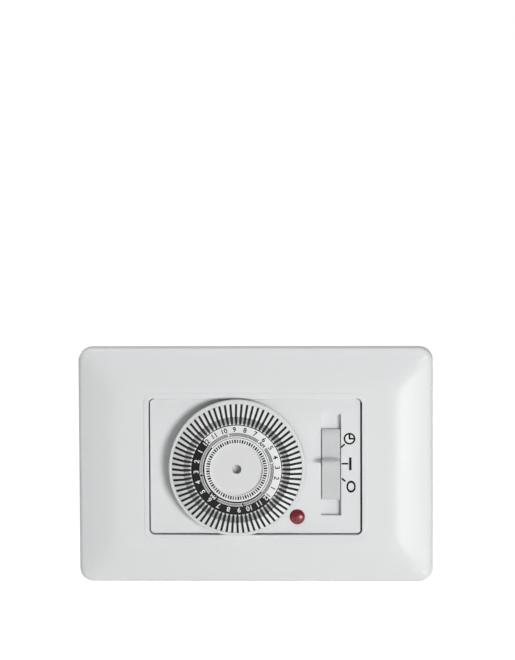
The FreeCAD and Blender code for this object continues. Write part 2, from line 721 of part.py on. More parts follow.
def make_front_bezel():
    """The face with the dial's mouth, the lens hole and the selector's recess, and four screw posts."""
    body = new_body("front_bezel")
    shell = pad(
        body,
        "bezel_block",
        centred(sketch(body, "bezel_outline", d.frame_thick), d.bezel_width, d.bezel_height),
        d.bezel_rise - d.frame_thick,
    )
    corners = blend(body, "bezel_corners", shell, d.bezel_corner, lambda e: runs_along(e, OUT))
    blend(body, "bezel_edge", corners, d.bezel_round, lambda e: near(rises(e)[0], d.bezel_rise))
    pocket(
        body,
        "bezel_hollow",
        centred(sketch(body, "bezel_hollow_outline", d.frame_thick), inner_width, inner_height),
        skin_back - d.frame_thick,
        from_behind=True,
    )
    posts = sketch(body, "post_outline")
    pilots = sketch(body, "pilot_outline")
    for across, up in QUARTERS:
        circle(posts, column_x * across, column_z * up, d.column_radius)
        circle(pilots, column_x * across, column_z * up, d.screw_radius + d.running_play)
    pad(body, "posts", posts, skin_back + JOIN)
    half = d.slider_width / 2 + d.recess_play
    reach_z = d.slider_length / 2 + d.slider_travel + d.recess_play
    pan = sketch(body, "pan_outline", pan_back)
    rectangle(
        pan,
        d.slider_x - half - d.pan_wall,
        d.slider_x + half + d.pan_wall,
        d.slider_z - reach_z - d.pan_wall,
        d.slider_z + reach_z + d.pan_wall,
    )
    pad(body, "pan", pan, skin_back - pan_back + JOIN)
    pocket(body, "pilots", pilots, d.screw_reach + d.well_spare, from_behind=True)
    recess = sketch(body, "recess_outline", d.bezel_rise)
    rectangle(recess, d.slider_x - half, d.slider_x + half, d.slider_z - reach_z, d.slider_z + reach_z)
    pocket(body, "recess", recess, d.recess_depth)
    stem_half = d.stem_width / 2 + d.stem_play
    stem_reach = d.stem_length / 2 + d.slider_travel + d.stem_spare
    slot = sketch(body, "stem_slot_outline", d.bezel_rise)
    rectangle(
        slot, d.slider_x - stem_half, d.slider_x + stem_half, d.slider_z - stem_reach, d.slider_z + stem_reach
    )
    pocket(body, "stem_slot", slot, d.recess_depth + d.recess_floor + 1)
    rail = sketch(body, "rail_outline", carriage_back + d.rail_short)
    rail_x = d.slider_x - d.carriage_width / 2 - d.carriage_gap
    rail_reach = d.carriage_half + d.slider_travel + d.rail_spare
    rectangle(rail, rail_x - d.rail_thick, rail_x, d.slider_z - rail_reach, d.slider_z + rail_reach)
    pad(body, "rail", rail, pan_back - carriage_back)
    mouth = circle(sketch(body, "mouth_outline", d.bezel_rise), d.dial_x, 0.0, d.mouth_radius)
    pocket(body, "mouth", mouth, d.bezel_skin + 1)
    lens = sketch(body, "lens_hole_outline", d.bezel_rise)
    circle(lens, d.lens_x, lens_z, d.lens_radius + d.running_play)
    pocket(body, "lens_hole", lens, d.bezel_skin + 1)
    return subpart(body, "front_bezel")


def post_spots():
    """The four posts that carry the movement plate."""
    return [
        (d.post_in - column_x, column_z - d.post_down),
        (d.post_in - column_x, d.post_down - column_z),
        (d.dial_x + d.post_upper_x, column_z - d.post_upper_z),
        (d.dial_x + d.post_lower_x, d.post_lower_z - column_z),
    ]


def make_rear_case():
    """The box behind the wall plane, with screw wells, posts, wire holes and terminal holes."""
    body = new_body("rear_case")
    tub = pad(
        body,
        "case_block",
        centred(sketch(body, "case_outline", 0 - d.case_depth), d.bezel_width, d.bezel_height),
        d.case_depth,
    )
    corners = blend(body, "case_corners", tub, d.bezel_corner, lambda e: runs_along(e, OUT))
    blend(body, "case_edge", corners, d.case_round, lambda e: near(rises(e)[1], 0 - d.case_depth))
    pocket(
        body,
        "case_hollow",
        centred(sketch(body, "case_hollow_outline"), inner_width, inner_height),
        d.case_depth - d.bezel_wall,
    )
    columns = sketch(body, "column_outline", case_floor - JOIN)
    wells = sketch(body, "well_outline", 0 - d.case_depth)
    holes = sketch(body, "column_hole_outline", 0 - d.case_depth)
    for across, up in QUARTERS:
        circle(columns, column_x * across, column_z * up, d.column_radius)
        circle(wells, column_x * across, column_z * up, d.well_radius)
        circle(holes, column_x * across, column_z * up, d.screw_radius + d.slot_play)
    pad(body, "columns", columns, JOIN - case_floor)
    pocket(body, "wells", wells, d.case_depth - d.well_floor, from_behind=True)
    pocket(body, "column_holes", holes, d.case_depth + 1, from_behind=True)
    posts = sketch(body, "movement_post_outline", case_floor - JOIN)
    bores = sketch(body, "movement_post_bores", 0 - d.movement_back)
    for x, z in post_spots():
        circle(posts, x, z, d.post_radius)
        circle(bores, x, z, d.post_bore)
    pad(body, "movement_posts", posts, JOIN - case_floor - d.movement_back)
    pocket(body, "movement_post_holes", bores, d.post_hole)
    ribs = sketch(body, "rib_outline", case_floor - JOIN)
    for x in TERMINALS:
        for side in (-1, 1):
            middle = x + (d.clamp_width / 2 + d.slot_play + d.rib_thick / 2) * side
            low = clamp_top - d.clamp_length
            rectangle(ribs, middle - d.rib_thick / 2, middle + d.rib_thick / 2, low, clamp_top + JOIN)
    pad(body, "terminal_ribs", ribs, d.clamp_height)
    shelf = sketch(body, "switch_shelf_outline", case_floor - JOIN)
    centred(shelf, d.shelf_size, d.shelf_size, (d.switch_left + d.switch_right) / 2, nose_z)
    pad(body, "switch_shelf", shelf, JOIN - case_floor - d.switch_depth)
    screws = sketch(body, "terminal_hole_outline", 0 - d.case_depth)
    entries = sketch(body, "wire_entry_outline", clamp_top + d.bezel_wall, role="XY_Plane")
    for x in TERMINALS:
        circle(screws, x, clamp_top - d.clamp_length / 2, d.terminal_hole)
        circle(entries, x, 0 - case_floor - d.wire_depth, d.wire_entry)
    pocket(body, "terminal_holes", screws, d.bezel_wall + 0.5, from_behind=True)
    pocket(body, "wire_entries", entries, d.bezel_wall + 1)
    return subpart(body, "rear_case")


def slot_for_blade(name, x, z, back):
    """The slot of a screw head, for a flat blade from behind."""
    half = d.blade_slot / 2
    return block(name, x - half, x + half, z - 5, z + 5, back - 1, back + d.blade_depth)


def make_case_screws():
    """Four screws that draw the case and the bezel together on the frame."""
    screws = []
    for k, (across, up) in enumerate(QUARTERS, start=1):
        x = column_x * across
        z = column_z * up
        back = 0 - d.well_floor - d.case_screw_head
        head = rod(f"case_screw_head_{k}", x, z, d.screw_head, back, 0 - d.well_floor)
        shank = rod(f"case_screw_shank_{k}", x, z, d.screw_radius, 0 - d.well_floor, d.screw_reach)
        solid = fuse(f"case_screw_{k}", [head, shank])
        slit = slot_for_blade(f"case_screw_slit_{k}", x, z, 0 - d.well_floor - d.case_screw_head)
        screws.append(cut(f"case_screw_cut_{k}", solid, slit))
    return subpart(group("case_screws_group", screws), "case_screws")


# Terminals


def make_terminals():
    """Four brass cage clamps, each with its screw reached from the back."""
    clamps = []
    screws = []
    mid_clamp = clamp_top - d.clamp_length / 2
    wire_rise = case_floor + d.wire_depth
    head_back = d.terminal_sunk - d.case_depth
    seat = clamp_back - d.terminal_seat
    for k, x in enumerate(TERMINALS, start=1):
        half = d.clamp_width / 2
        cage = block(
            f"clamp_block_{k}", x - half, x + half, clamp_top - d.clamp_length, clamp_top,
            clamp_back, clamp_back + d.clamp_height,
        )
        wire = upright(
            f"clamp_wire_{k}", x, wire_rise, d.wire_radius, clamp_top - d.clamp_length - 1, clamp_top + 1
        )
        thread = rod(
            f"clamp_thread_{k}", x, mid_clamp, d.terminal_radius + d.running_play, clamp_back - 1, wire_rise
        )
        clamps.append(cut(f"clamp_{k}", cage, fuse(f"clamp_holes_{k}", [wire, thread])))
        head = rod(f"terminal_head_{k}", x, mid_clamp, d.terminal_head, head_back, seat)
        shank_top = wire_rise - d.wire_radius - JOIN
        shank = rod(f"terminal_shank_{k}", x, mid_clamp, d.terminal_radius, seat, shank_top)
        slit = slot_for_blade(f"terminal_slit_{k}", x, mid_clamp, head_back)
        screws.append(cut(f"terminal_screw_{k}", fuse(f"terminal_solid_{k}", [head, shank]), slit))
    subpart(group("terminal_clamps_group", clamps), "terminal_clamps")
    subpart(group("terminal_screws_group", screws), "terminal_screws")


# Movement


def make_movement_plate():
    """The plate that carries the axle, the gears' pin, the motor and the follower's lugs."""
    body = new_body("movement_plate")
    left = 0 - inner_width / 2 + d.movement_play
    top = inner_height / 2 - d.movement_play
    cut_x = left + d.movement_corner
    cut_z = top - d.movement_corner
    outline = sketch(body, "movement_outline", 0 - d.movement_back)
    polygon(
        outline,
        [
            (cut_x, 0 - top),
            (d.movement_right, 0 - top),
            (d.movement_right, top),
            (cut_x, top),
            (left, cut_z),
            (left, 0 - cut_z),
        ],
    )
    pad(body, "movement_sheet", outline, d.movement_thick)
    boss_outline = sketch(body, "axle_boss_outline", movement_front - JOIN)
    boss = circle(boss_outline, d.dial_x, 0.0, d.axle_radius + d.boss_wall)
    pad(body, "axle_boss", boss, d.dial_gear_back - d.gear_seat - movement_front + JOIN)
    small = sketch(body, "pin_boss_outline", movement_front - JOIN)
    circle(small, mid_x, mid_z, d.pin_radius + d.pin_boss_wall)
    pad(body, "pin_boss", small, d.wheel_back - d.slot_play - movement_front + JOIN)
    lugs = sketch(body, "lug_outline", movement_front - JOIN)
    inner = d.lever_width / 2 + d.lug_gap
    lug_half = d.trunnion_radius + d.lever_wall + JOIN
    for side in (-1, 1):
        edges = sorted((nose_z + inner * side, nose_z + (inner + d.lug_thick) * side), key=value_of)
        rectangle(lugs, d.pivot_x - lug_half, d.pivot_x + lug_half, *edges)
    pad(body, "lugs", lugs, d.pivot_rise + lug_half - movement_front + JOIN)
    bore = sketch(body, "pivot_bore_outline", nose_z, role="XY_Plane")
    circle(bore, d.pivot_x, 0 - d.pivot_rise, d.trunnion_radius + d.running_play)
    pocket(body, "pivot_bore", bore)
    holes = sketch(body, "movement_holes", d.pivot_rise)
    circle(holes, d.dial_x, 0.0, d.axle_radius + 0.01)
    circle(holes, mid_x, mid_z, d.pin_radius + 0.01)
    circle(holes, motor_x, motor_z, d.shaft_radius + d.running_play)
    circle(holes, d.plunger_x, nose_z, d.plunger_radius + d.running_play)
    for x, z in post_spots():
        circle(holes, x, z, d.plate_screw + d.slot_play)
    pocket(body, "movement_drilling", holes, d.pivot_rise + d.movement_back + 1)
    return subpart(body, "movement_plate")


def make_plate_screws():
    screws = []
    head_front = movement_front + d.plate_screw_thick
    shank_back = movement_front - d.plate_screw_length
    for k, (x, z) in enumerate(post_spots(), start=1):
        head = rod(f"plate_screw_head_{k}", x, z, d.plate_screw_head, movement_front, head_front)
        shank = rod(f"plate_screw_shank_{k}", x, z, d.plate_screw, shank_back, movement_front)
        screws.append(fuse(f"plate_screw_{k}", [head, shank]))
    return subpart(group("plate_screws_group", screws), "plate_screws")


def make_axle_and_pin():
    """The fixed axle of the dial with its clip, and the fixed pin of the intermediate gear."""
    groove = drum_floor + d.clip_lift
    groove_top = groove + d.clip_sheet + d.running_play
    axle_top = groove + d.clip_sheet + d.axle_tip
    axle = new_body("dial_axle")
    revolve(
        axle,
        "axle_turning",
        [
            (0.0, 0 - d.movement_back),
            (d.axle_radius, 0 - d.movement_back),
            (d.axle_radius, groove),
            (d.clip_groove, groove),
            (d.clip_groove, groove_top),
            (d.axle_radius, groove_top),
            (d.axle_radius, axle_top),
            (0.0, axle_top),
        ],
    )
    subpart(place(axle, d.dial_x, 0.0, 0.0), "dial_axle")
    clip = new_body("axle_clip")
    ring = sketch(clip, "clip_ring_outline", groove + d.close_fit)
    circle(ring, 0.0, 0.0, d.clip_groove + d.close_fit)
    circle(ring, 0.0, 0.0, d.clip_ring)
    pad(clip, "clip_ring", ring, d.clip_sheet - d.close_fit)
    gap = sketch(clip, "clip_gap_outline", groove)
    rectangle(gap, 0.0, d.clip_ring + 1, 0 - d.clip_groove * 0.9, d.clip_groove * 0.9)
    pocket(clip, "clip_gap", gap, 2.0, from_behind=True)
    subpart(place(clip, d.dial_x, 0.0, 0.0), "axle_clip")
    pin_top = d.dial_gear_back + d.dial_gear_thick + d.pin_tip
    pin = rod("intermediate_pin_bar", mid_x, mid_z, d.pin_radius, 0 - d.movement_back, pin_top)
    subpart(pin, "intermediate_pin")


def gear_outline(teeth, module, thinning, addendum, dedendum):
    """The outline of a spur gear about the Y axis with a tooth centred on +X, flanks as involutes."""
    pitch = module * teeth / 2
    base = pitch * math.cos(math.radians(20))
    tip = pitch + addendum * module
    root = pitch - dedendum * module

    def involute(radius):
        spread = math.sqrt(max((radius / base) ** 2 - 1, 0.0))
        return spread - math.atan(spread)

    half_tooth = math.pi / teeth / 2 - thinning / pitch + involute(pitch)
    start = max(base, root)
    half_foot = half_tooth - involute(start)
    radii = [start + (tip - start) * k / 4 for k in range(5)]

    def spot(radius, angle):
        return FreeCAD.Vector(radius * math.cos(angle), 0, radius * math.sin(angle))

    edges = []
    for k in range(teeth):
        middle = 2 * math.pi * k / teeth
        rising = [spot(r, middle - half_tooth + involute(r)) for r in radii]
        falling = [spot(r, middle + half_tooth - involute(r)) for r in reversed(radii)]
        foot_in = spot(root, middle - half_foot)
        foot_out = spot(root, middle + half_foot)
        next_foot = spot(root, middle + 2 * math.pi / teeth - half_foot)
        gap_middle = spot(root, middle + math.pi / teeth)
        if start > root:
            edges.append(Part.makeLine(foot_in, rising[0]))
        edges.append(smooth(rising))
        edges.append(Part.Arc(rising[-1], spot(tip, middle), falling[0]).toShape())
        edges.append(smooth(falling))
        if start > root:
            edges.append(Part.makeLine(falling[-1], foot_out))
        edges.append(Part.Arc(foot_out, gap_middle, next_foot).toShape())
    return Part.Wire(edges)


def smooth(spots):
    curve = Part.BSplineCurve()
    curve.interpolate(spots)
    return curve.toShape()


def toothed(teeth, back, front, turn, addendum=1.0, dedendum=1.25):
    """A toothed disc between two rises about the Y axis, turned so that a tooth points at an angle."""
    count = round(value_of(teeth))
    wire = gear_outline(count, value_of(d.gear_module), value_of(d.tooth_play), addendum, dedendum)
    disc = Part.Face(wire).extrude(FreeCAD.Vector(0, value_of(back) - value_of(front), 0))
    disc.translate(FreeCAD.Vector(0, -value_of(back), 0))
    disc.rotate(FreeCAD.Vector(), FreeCAD.Vector(0, 1, 0), -turn)
    return disc


def column(radius, back, front):
    """A plain cylinder about the Y axis between two rises."""
    start = FreeCAD.Vector(0, -value_of(front), 0)
    length = value_of(front) - value_of(back)
    return Part.makeCylinder(value_of(radius), length, start, FreeCAD.Vector(0, 1, 0))


def shaped(name, shape, x, z):
    """A piece whose outline comes from a formula, set at its axis."""
    item = doc.addObject("Part::Feature", name + "_shape")
    item.Shape = shape
    item.Placement = FreeCAD.Placement(FreeCAD.Vector(value_of(x), 0, value_of(z)), FreeCAD.Rotation())
    return subpart(item, name)


def make_gears():
    """The dial gear, the intermediate gear and the motor's pinion, in mesh as they stand."""
    mesh = value_of(d.mesh_angle)
    drive = value_of(d.motor_angle)
    half_step = 180 / value_of(d.pinion_teeth)
    dial_front = d.dial_gear_back + d.dial_gear_thick
    hub_front = drum_back - d.clutch_height
    dial = toothed(d.dial_teeth, d.dial_gear_back, dial_front, mesh, addendum=0.8)
    dial = dial.fuse(column(d.gear_hub, d.dial_gear_back, hub_front))
    dial = dial.cut(column(d.axle_radius + d.running_play, d.dial_gear_back - 1, hub_front + 1))
    shaped("dial_gear", dial.removeSplitter(), d.dial_x, 0.0)
    wheel_front = d.wheel_back + d.wheel_thick
    pinion_front = dial_front + d.pinion_spare
    wheel = toothed(d.wheel_teeth, d.wheel_back, wheel_front, drive, addendum=0.8)
    pinion = toothed(d.pinion_teeth, wheel_front - 0.1, pinion_front, mesh + 180 + half_step)
    pair = wheel.fuse(pinion).cut(column(d.pin_radius + d.running_play, d.wheel_back - 1, pinion_front + 1))
    shaped("intermediate_gear", pair.removeSplitter(), mid_x, mid_z)
    driver = toothed(
        d.pinion_teeth,
        d.wheel_back - d.pinion_spare * 2,
        wheel_front + d.pinion_spare,
        drive + 180 + half_step,
    )
    driver = driver.cut(column(d.shaft_radius + 0.01, d.wheel_back - 1, wheel_front + 1))
    shaped("motor_pinion", driver, motor_x, motor_z)


def make_motor():
    """A round synchronous motor: can, coil and a rotor on its shaft."""
    can_front = 0 - d.movement_back
    can_back = can_front - d.motor_length
    outer = rod("can_outer", motor_x, motor_z, motor_radius, can_back, can_front)
    floor = can_back + d.motor_skin
    bearing_radius = d.shaft_radius + d.running_play
    inner = rod("can_inner", motor_x, motor_z, motor_radius - d.motor_skin, floor, can_front + 1)
    bearing = rod("can_bearing", motor_x, motor_z, bearing_radius, can_back - 1, floor + 1)
    subpart(cut("motor_can_cut", outer, fuse("can_hollow", [inner, bearing])), "motor_can")
    coil_back = can_back + d.motor_skin
    bobbin = rod("coil_outer_bar", motor_x, motor_z, coil_outer, coil_back, can_front - d.coil_play)
    bore = rod("coil_bore", motor_x, motor_z, d.coil_inner, coil_back - 1, can_front)
    flange = coil_back + d.bobbin_back
    flange_front = d.coil_play + d.bobbin_back
    winding_band = rod("coil_band", motor_x, motor_z, coil_outer + 1, flange, can_front - flange_front)
    winding_core = rod("coil_core", motor_x, motor_z, coil_outer - d.winding_depth, coil_back, can_front)
    groove = cut("coil_groove", winding_band, winding_core)
    subpart(cut("motor_coil_cut", bobbin, fuse("coil_hollow", [bore, groove])), "motor_coil")
    magnet_back = coil_back + d.rotor_back
    magnet_front = can_front - d.rotor_front
    magnet = rod("rotor_magnet", motor_x, motor_z, d.rotor_radius, magnet_back, magnet_front)
    shaft_front = d.wheel_back + d.wheel_thick + d.pinion_spare
    shaft = rod("rotor_shaft", motor_x, motor_z, d.shaft_radius, can_back, shaft_front)
    subpart(fuse("motor_rotor_fuse", [magnet, shaft]), "motor_rotor")


# Switch


def make_switch_body():
    """The moulded block that holds the snap contacts and carries the selector's strips."""
    low = nose_z - d.switch_half
    high = nose_z + d.switch_half
    floor = 0 - d.switch_depth
    deck = 0 - d.movement_back
    main = block("switch_main", d.switch_left, d.switch_step, low, high, floor, deck)
    side = block("switch_side", d.switch_step, d.switch_right, low, high + d.switch_rise, floor, block_top)
    cavity = block(
        "switch_cavity",
        d.switch_left + d.switch_wall,
        d.switch_step - d.switch_wall,
        low + d.switch_wall,
        high - d.switch_wall,
        floor + d.switch_wall,
        deck + 1,
    )
    hollow = cut("switch_hollowed", fuse("switch_solid", [main, side]), cavity)
    strip_top = contact_top - d.rivet_height
    strip_back = strip_top - d.strip_thick
    ledges = []
    pads = []
    for k, across in enumerate((-1, 1), start=1):
        x = d.plunger_x + d.contact_reach * across
        left = x - d.contact_width / 2
        right = x + d.contact_width / 2
        front_z = nose_z - d.contact_width
        rear_z = nose_z + d.contact_width
        cavity_floor = floor + d.switch_wall - JOIN
        ledges.append(block(f"switch_ledge_{k}", left, right, front_z, rear_z, cavity_floor, strip_back))
        strip = block(f"fixed_strip_{k}", left, right, front_z, rear_z, strip_back, strip_top)
        rivet = rod(f"fixed_rivet_{k}", x, nose_z, d.rivet_radius, strip_top, contact_top)
        pads.append(fuse(f"fixed_contact_{k}", [strip, rivet]))
    subpart(fuse("switch_body_fuse", [hollow, *ledges]), "switch_body")
    subpart(group("fixed_contacts_group", pads), "fixed_contacts")


def make_plunger():
    """The plunger with its crosshead, the bridge it carries and the spring below it."""
    tip = d.pivot_rise - d.arm_under - d.plunger_gap
    body = new_body("switch_plunger")
    stem = circle(sketch(body, "stem_outline", crosshead_back), d.plunger_x, nose_z, d.plunger_radius)
    bar = pad(body, "stem", stem, tip - crosshead_back)
    blend(body, "stem_dome", bar, d.plunger_radius - 0.4, lambda e: near(rises(e)[0], tip))
    cross = sketch(body, "crosshead_outline", crosshead_back)
    centred(cross, d.plunger_radius * 5, d.plunger_radius * 2, d.plunger_x, nose_z)
    pad(body, "crosshead", cross, d.crosshead_thick)
    subpart(body, "switch_plunger")
    half = d.contact_reach + d.rivet_radius
    left = d.plunger_x - half
    right = d.plunger_x + half
    deep = d.plunger_radius
    bar = block("bridge_bar", left, right, nose_z - deep, nose_z + deep, bridge_back, crosshead_back)
    rivets = []
    for k, across in enumerate((-1, 1), start=1):
        x = d.plunger_x + d.contact_reach * across
        rivet_back = bridge_back - d.rivet_height
        rivets.append(rod(f"bridge_rivet_{k}", x, nose_z, d.rivet_radius, rivet_back, bridge_back))
    subpart(fuse("contact_bridge_fuse", [bar, *rivets]), "contact_bridge")
    make_plunger_spring(0 - d.switch_depth + d.switch_wall, bridge_back)


def make_plunger_spring(floor, ceiling):
    """A small coil spring between the switch body's floor and the bridge."""
    wire = value_of(d.spring_wire)
    radius = value_of(d.spring_radius)
    turns = round(value_of(d.spring_turns))
    low = value_of(floor + d.spring_seat) + wire / 2
    high = value_of(ceiling - d.spring_seat) - wire / 2
    helix = Part.makeHelix((high - low) / turns, high - low, radius)
    ring = Part.Wire(Part.makeCircle(wire / 2, FreeCAD.Vector(radius, 0, 0), FreeCAD.Vector(0, 1, 0)))
    coil = Part.Wire(helix).makePipeShell([ring], True, True)
    upright_to_back = FreeCAD.Placement(
        FreeCAD.Vector(0, -high, 0), FreeCAD.Rotation(FreeCAD.Vector(1, 0, 0), -90)
    )
    shaped("plunger_spring", coil.transformed(upright_to_back.toMatrix(), copy=True), d.plunger_x, nose_z)


def make_follower():
    """The lever that feels the tabs: its nose under their feet, its arm over the plunger."""
    body = new_body("follower_lever")
    half_nose = d.nose_width / 2
    under = d.pivot_rise - d.arm_under
    over = d.pivot_rise + d.arm_over
    arm = sketch(body, "arm_outline", nose_z, role="XY_Plane")
    rectangle(arm, nose_x - half_nose, d.pivot_x, 0 - over, 0 - under)
    pad(body, "arm", arm, d.lever_width, both_ways=True)
    nose = sketch(body, "nose_outline", nose_z, role="XY_Plane")
    rectangle(nose, nose_x - half_nose, nose_x + half_nose, d.nose_gap - foot_rest, 0 - under)
    pad(body, "nose", nose, d.lever_width / 2, both_ways=True)
    hub = sketch(body, "hub_outline", nose_z, role="XY_Plane")
    circle(hub, d.pivot_x, 0 - d.pivot_rise, d.trunnion_radius + d.lever_wall)
    pad(body, "hub", hub, d.lever_width + d.lug_gap, both_ways=True)
    trunnions = sketch(body, "trunnion_outline", nose_z, role="XY_Plane")
    circle(trunnions, d.pivot_x, 0 - d.pivot_rise, d.trunnion_radius)
    pad(body, "trunnions", trunnions, d.lever_width + (d.lug_gap + d.lug_thick) * 2, both_ways=True)
    return subpart(body, "follower_lever")


def make_strips():
    """Brass strips that join the selector and the switch to the terminals, and the selector's wiper."""
    high = nose_z + d.switch_half
    side_top = high + d.switch_rise
    thick = d.strip_thick
    top = block_top + thick
    wire_rise = case_floor + d.clamp_height - d.strip_sunk
    common_x = d.slider_x - d.strip_pitch / 2
    pick_x = d.slider_x + d.strip_pitch / 2
    reach_z = clamp_top - d.clamp_length
    half = d.strip_width / 2
    foot_left = common_x + half - d.strip_foot
    tail_back = block_top - d.clock_tail
    bar_low = d.slider_z - d.slider_travel - 1
    clock_low = d.slider_z + d.slider_travel * 0.7
    common = [
        block("common_bar", common_x - half, common_x + half, bar_low, side_top, block_top, top),
        block("common_tail", common_x - half, common_x + half, side_top, side_top + thick, wire_rise, top),
        block("common_foot", foot_left, common_x + half, side_top, reach_z, wire_rise, wire_rise + thick),
    ]
    clock = [
        block("clock_pad", pick_x - half, pick_x + half, clock_low, side_top, block_top, top),
        block("clock_tail", pick_x - half, pick_x + half, side_top, side_top + thick, tail_back, top),
    ]
    low = d.slider_z - d.slider_travel / 2
    high_end = d.slider_z + d.slider_travel / 2
    steady = block("steady_pad", pick_x - half, pick_x + half, low, high_end, block_top, top)
    x = TERMINALS[2]
    feed = [
        block("feed_riser", x - half, x + half, high, high + thick, wire_rise, d.feed_top - d.switch_depth),
        block("feed_foot", x - half, x + half, high, reach_z, wire_rise, wire_rise + thick),
    ]
    solids = [fuse("common_strip", common), fuse("clock_strip", clock), steady, fuse("feed_strip", feed)]
    subpart(group("contact_strips_group", solids), "contact_strips")
    leaf_back = carriage_back - d.wiper_thick
    leaf_low = d.slider_z - d.strip_width
    leaf_high = d.slider_z + d.strip_width
    leaf_left = common_x - d.wiper_end
    leaf_right = pick_x + d.wiper_end
    leaf = block("wiper_leaf", leaf_left, leaf_right, leaf_low, leaf_high, leaf_back, carriage_back)
    dimples = [
        rod(f"wiper_dimple_{k}", x, d.slider_z, d.dimple_radius, top + d.dimple_gap, leaf_back)
        for k, x in enumerate((common_x, pick_x), start=1)
    ]
    subpart(fuse("wiper_blade_fuse", [leaf, *dimples]), "wiper_blade")


# Selector


def make_selector():
    """The slider in its recess, the carriage behind the bezel and the spring that clicks it."""
    top = d.bezel_rise - d.slider_sunk
    back = top - d.slider_thick
    half = d.slider_width / 2
    body = new_body("selector_slider")
    outline = sketch(body, "slider_outline", back)
    centred(outline, d.slider_width, d.slider_length, d.slider_x, d.slider_z)
    plate = pad(body, "slider_plate", outline, d.slider_thick)
    blend(body, "slider_corners", plate, d.slider_corner, lambda e: runs_along(e, OUT))
    fin = sketch(body, "fin_outline", top - JOIN)
    centred(fin, d.slider_width, d.fin_thick, d.slider_x, d.slider_z + d.fin_up)
    fin_pad = pad(body, "fin", fin, d.fin_height + JOIN)
    blend(body, "fin_round", fin_pad, d.fin_round, lambda e: near(rises(e)[0], top + d.fin_height))
    stem = sketch(body, "slider_stem_outline", carriage_top)
    centred(stem, d.stem_width, d.stem_length, d.slider_x, d.slider_z)
    pad(body, "slider_stem", stem, back - carriage_top + JOIN)
    subpart(body, "selector_slider")
    carriage = new_body("selector_carriage")
    right = d.slider_x + d.carriage_width / 2
    left = d.slider_x - d.carriage_width / 2
    corners = [(right, d.slider_z - d.carriage_half)]
    for step in (-1, 0, 1):
        z = d.slider_z + d.slider_travel * step
        corners += [(right, z - d.notch_half), (right - d.notch_depth, z), (right, z + d.notch_half)]
    corners += [
        (right, d.slider_z + d.carriage_half),
        (left, d.slider_z + d.carriage_half),
        (left, d.slider_z - d.carriage_half),
    ]
    profile = polygon(sketch(carriage, "carriage_outline", carriage_back), corners)
    pad(carriage, "carriage_bar", profile, d.carriage_thick)
    subpart(carriage, "selector_carriage")
    make_detent_spring(right)


def make_detent_spring(edge):
    """A bent leaf whose nose rests in the carriage's middle notch."""
    wall = inner_width / 2
    thick = d.detent_thick
    tip = edge - d.notch_depth + thick
    path = [
        (wall - d.detent_gap - thick, 0 - d.slider_travel * 2.2),
        (edge + 0.5, 0 - d.notch_half * 1.6),
        (edge + 0.15, 0 - d.notch_half * 0.5),
        (tip, 0.0),
        (edge + 0.15, d.notch_half * 0.5),
        (edge + 0.5, d.notch_half * 1.6),
        (wall - d.detent_gap - thick, d.slider_travel * 2.2),
    ]
    front = [(x, d.slider_z + z) for x, z in path]
    rear = [(x + thick, d.slider_z + z) for x, z in reversed(path)]
    body = new_body("detent_spring")
    outline = polygon(sketch(body, "detent_outline", carriage_back + d.detent_side), front + rear)
    pad(body, "detent_leaf", outline, d.carriage_thick - d.detent_side * 2)
    return subpart(body, "detent_spring")


# Neon lamp


def make_lamp():
    """The red lens in the face and the neon lamp that stands behind it."""
    flange_back = skin_back - d.lens_rim
    body = new_body("indicator_lens")
    crown = d.bezel_rise + d.lens_dome
    bore = d.lamp_radius + d.lamp_play
    rings = [
        (bore, flange_back),
        (d.lens_flange, flange_back),
        (d.lens_flange, skin_back),
        (d.lens_radius, skin_back),
        (d.lens_radius, d.bezel_rise + 0.1),
        (d.lens_radius * 0.94, d.bezel_rise + d.lens_dome * 0.38),
        (d.lens_radius * 0.77, d.bezel_rise + d.lens_dome * 0.68),
        (d.lens_radius * 0.5, d.bezel_rise + d.lens_dome * 0.9),
        (0.0, crown),
        (0.0, d.bezel_rise - 0.4),
        (bore, d.bezel_rise - d.lens_skin),
    ]
    revolve(body, "lens_turning", rings)
    subpart(place(body, d.lens_x, 0.0, lens_z), "indicator_lens")
    lamp = new_body("neon_lamp")
    tip = d.bezel_rise - d.lamp_tip
    revolve(
        lamp,
        "lamp_turning",
        [
            (0.0, movement_front),
            (d.lamp_radius, movement_front),
            (d.lamp_radius, tip - d.lamp_radius * 0.8),
            (d.lamp_radius * 0.6, tip - d.lamp_radius * 0.2),
            (0.0, tip),
        ],
    )
    subpart(place(lamp, d.lens_x, 0.0, lens_z), "neon_lamp")


# Dial


def at_dial(item, name):
    return subpart(place(item, d.dial_x, 0.0, 0.0), name)


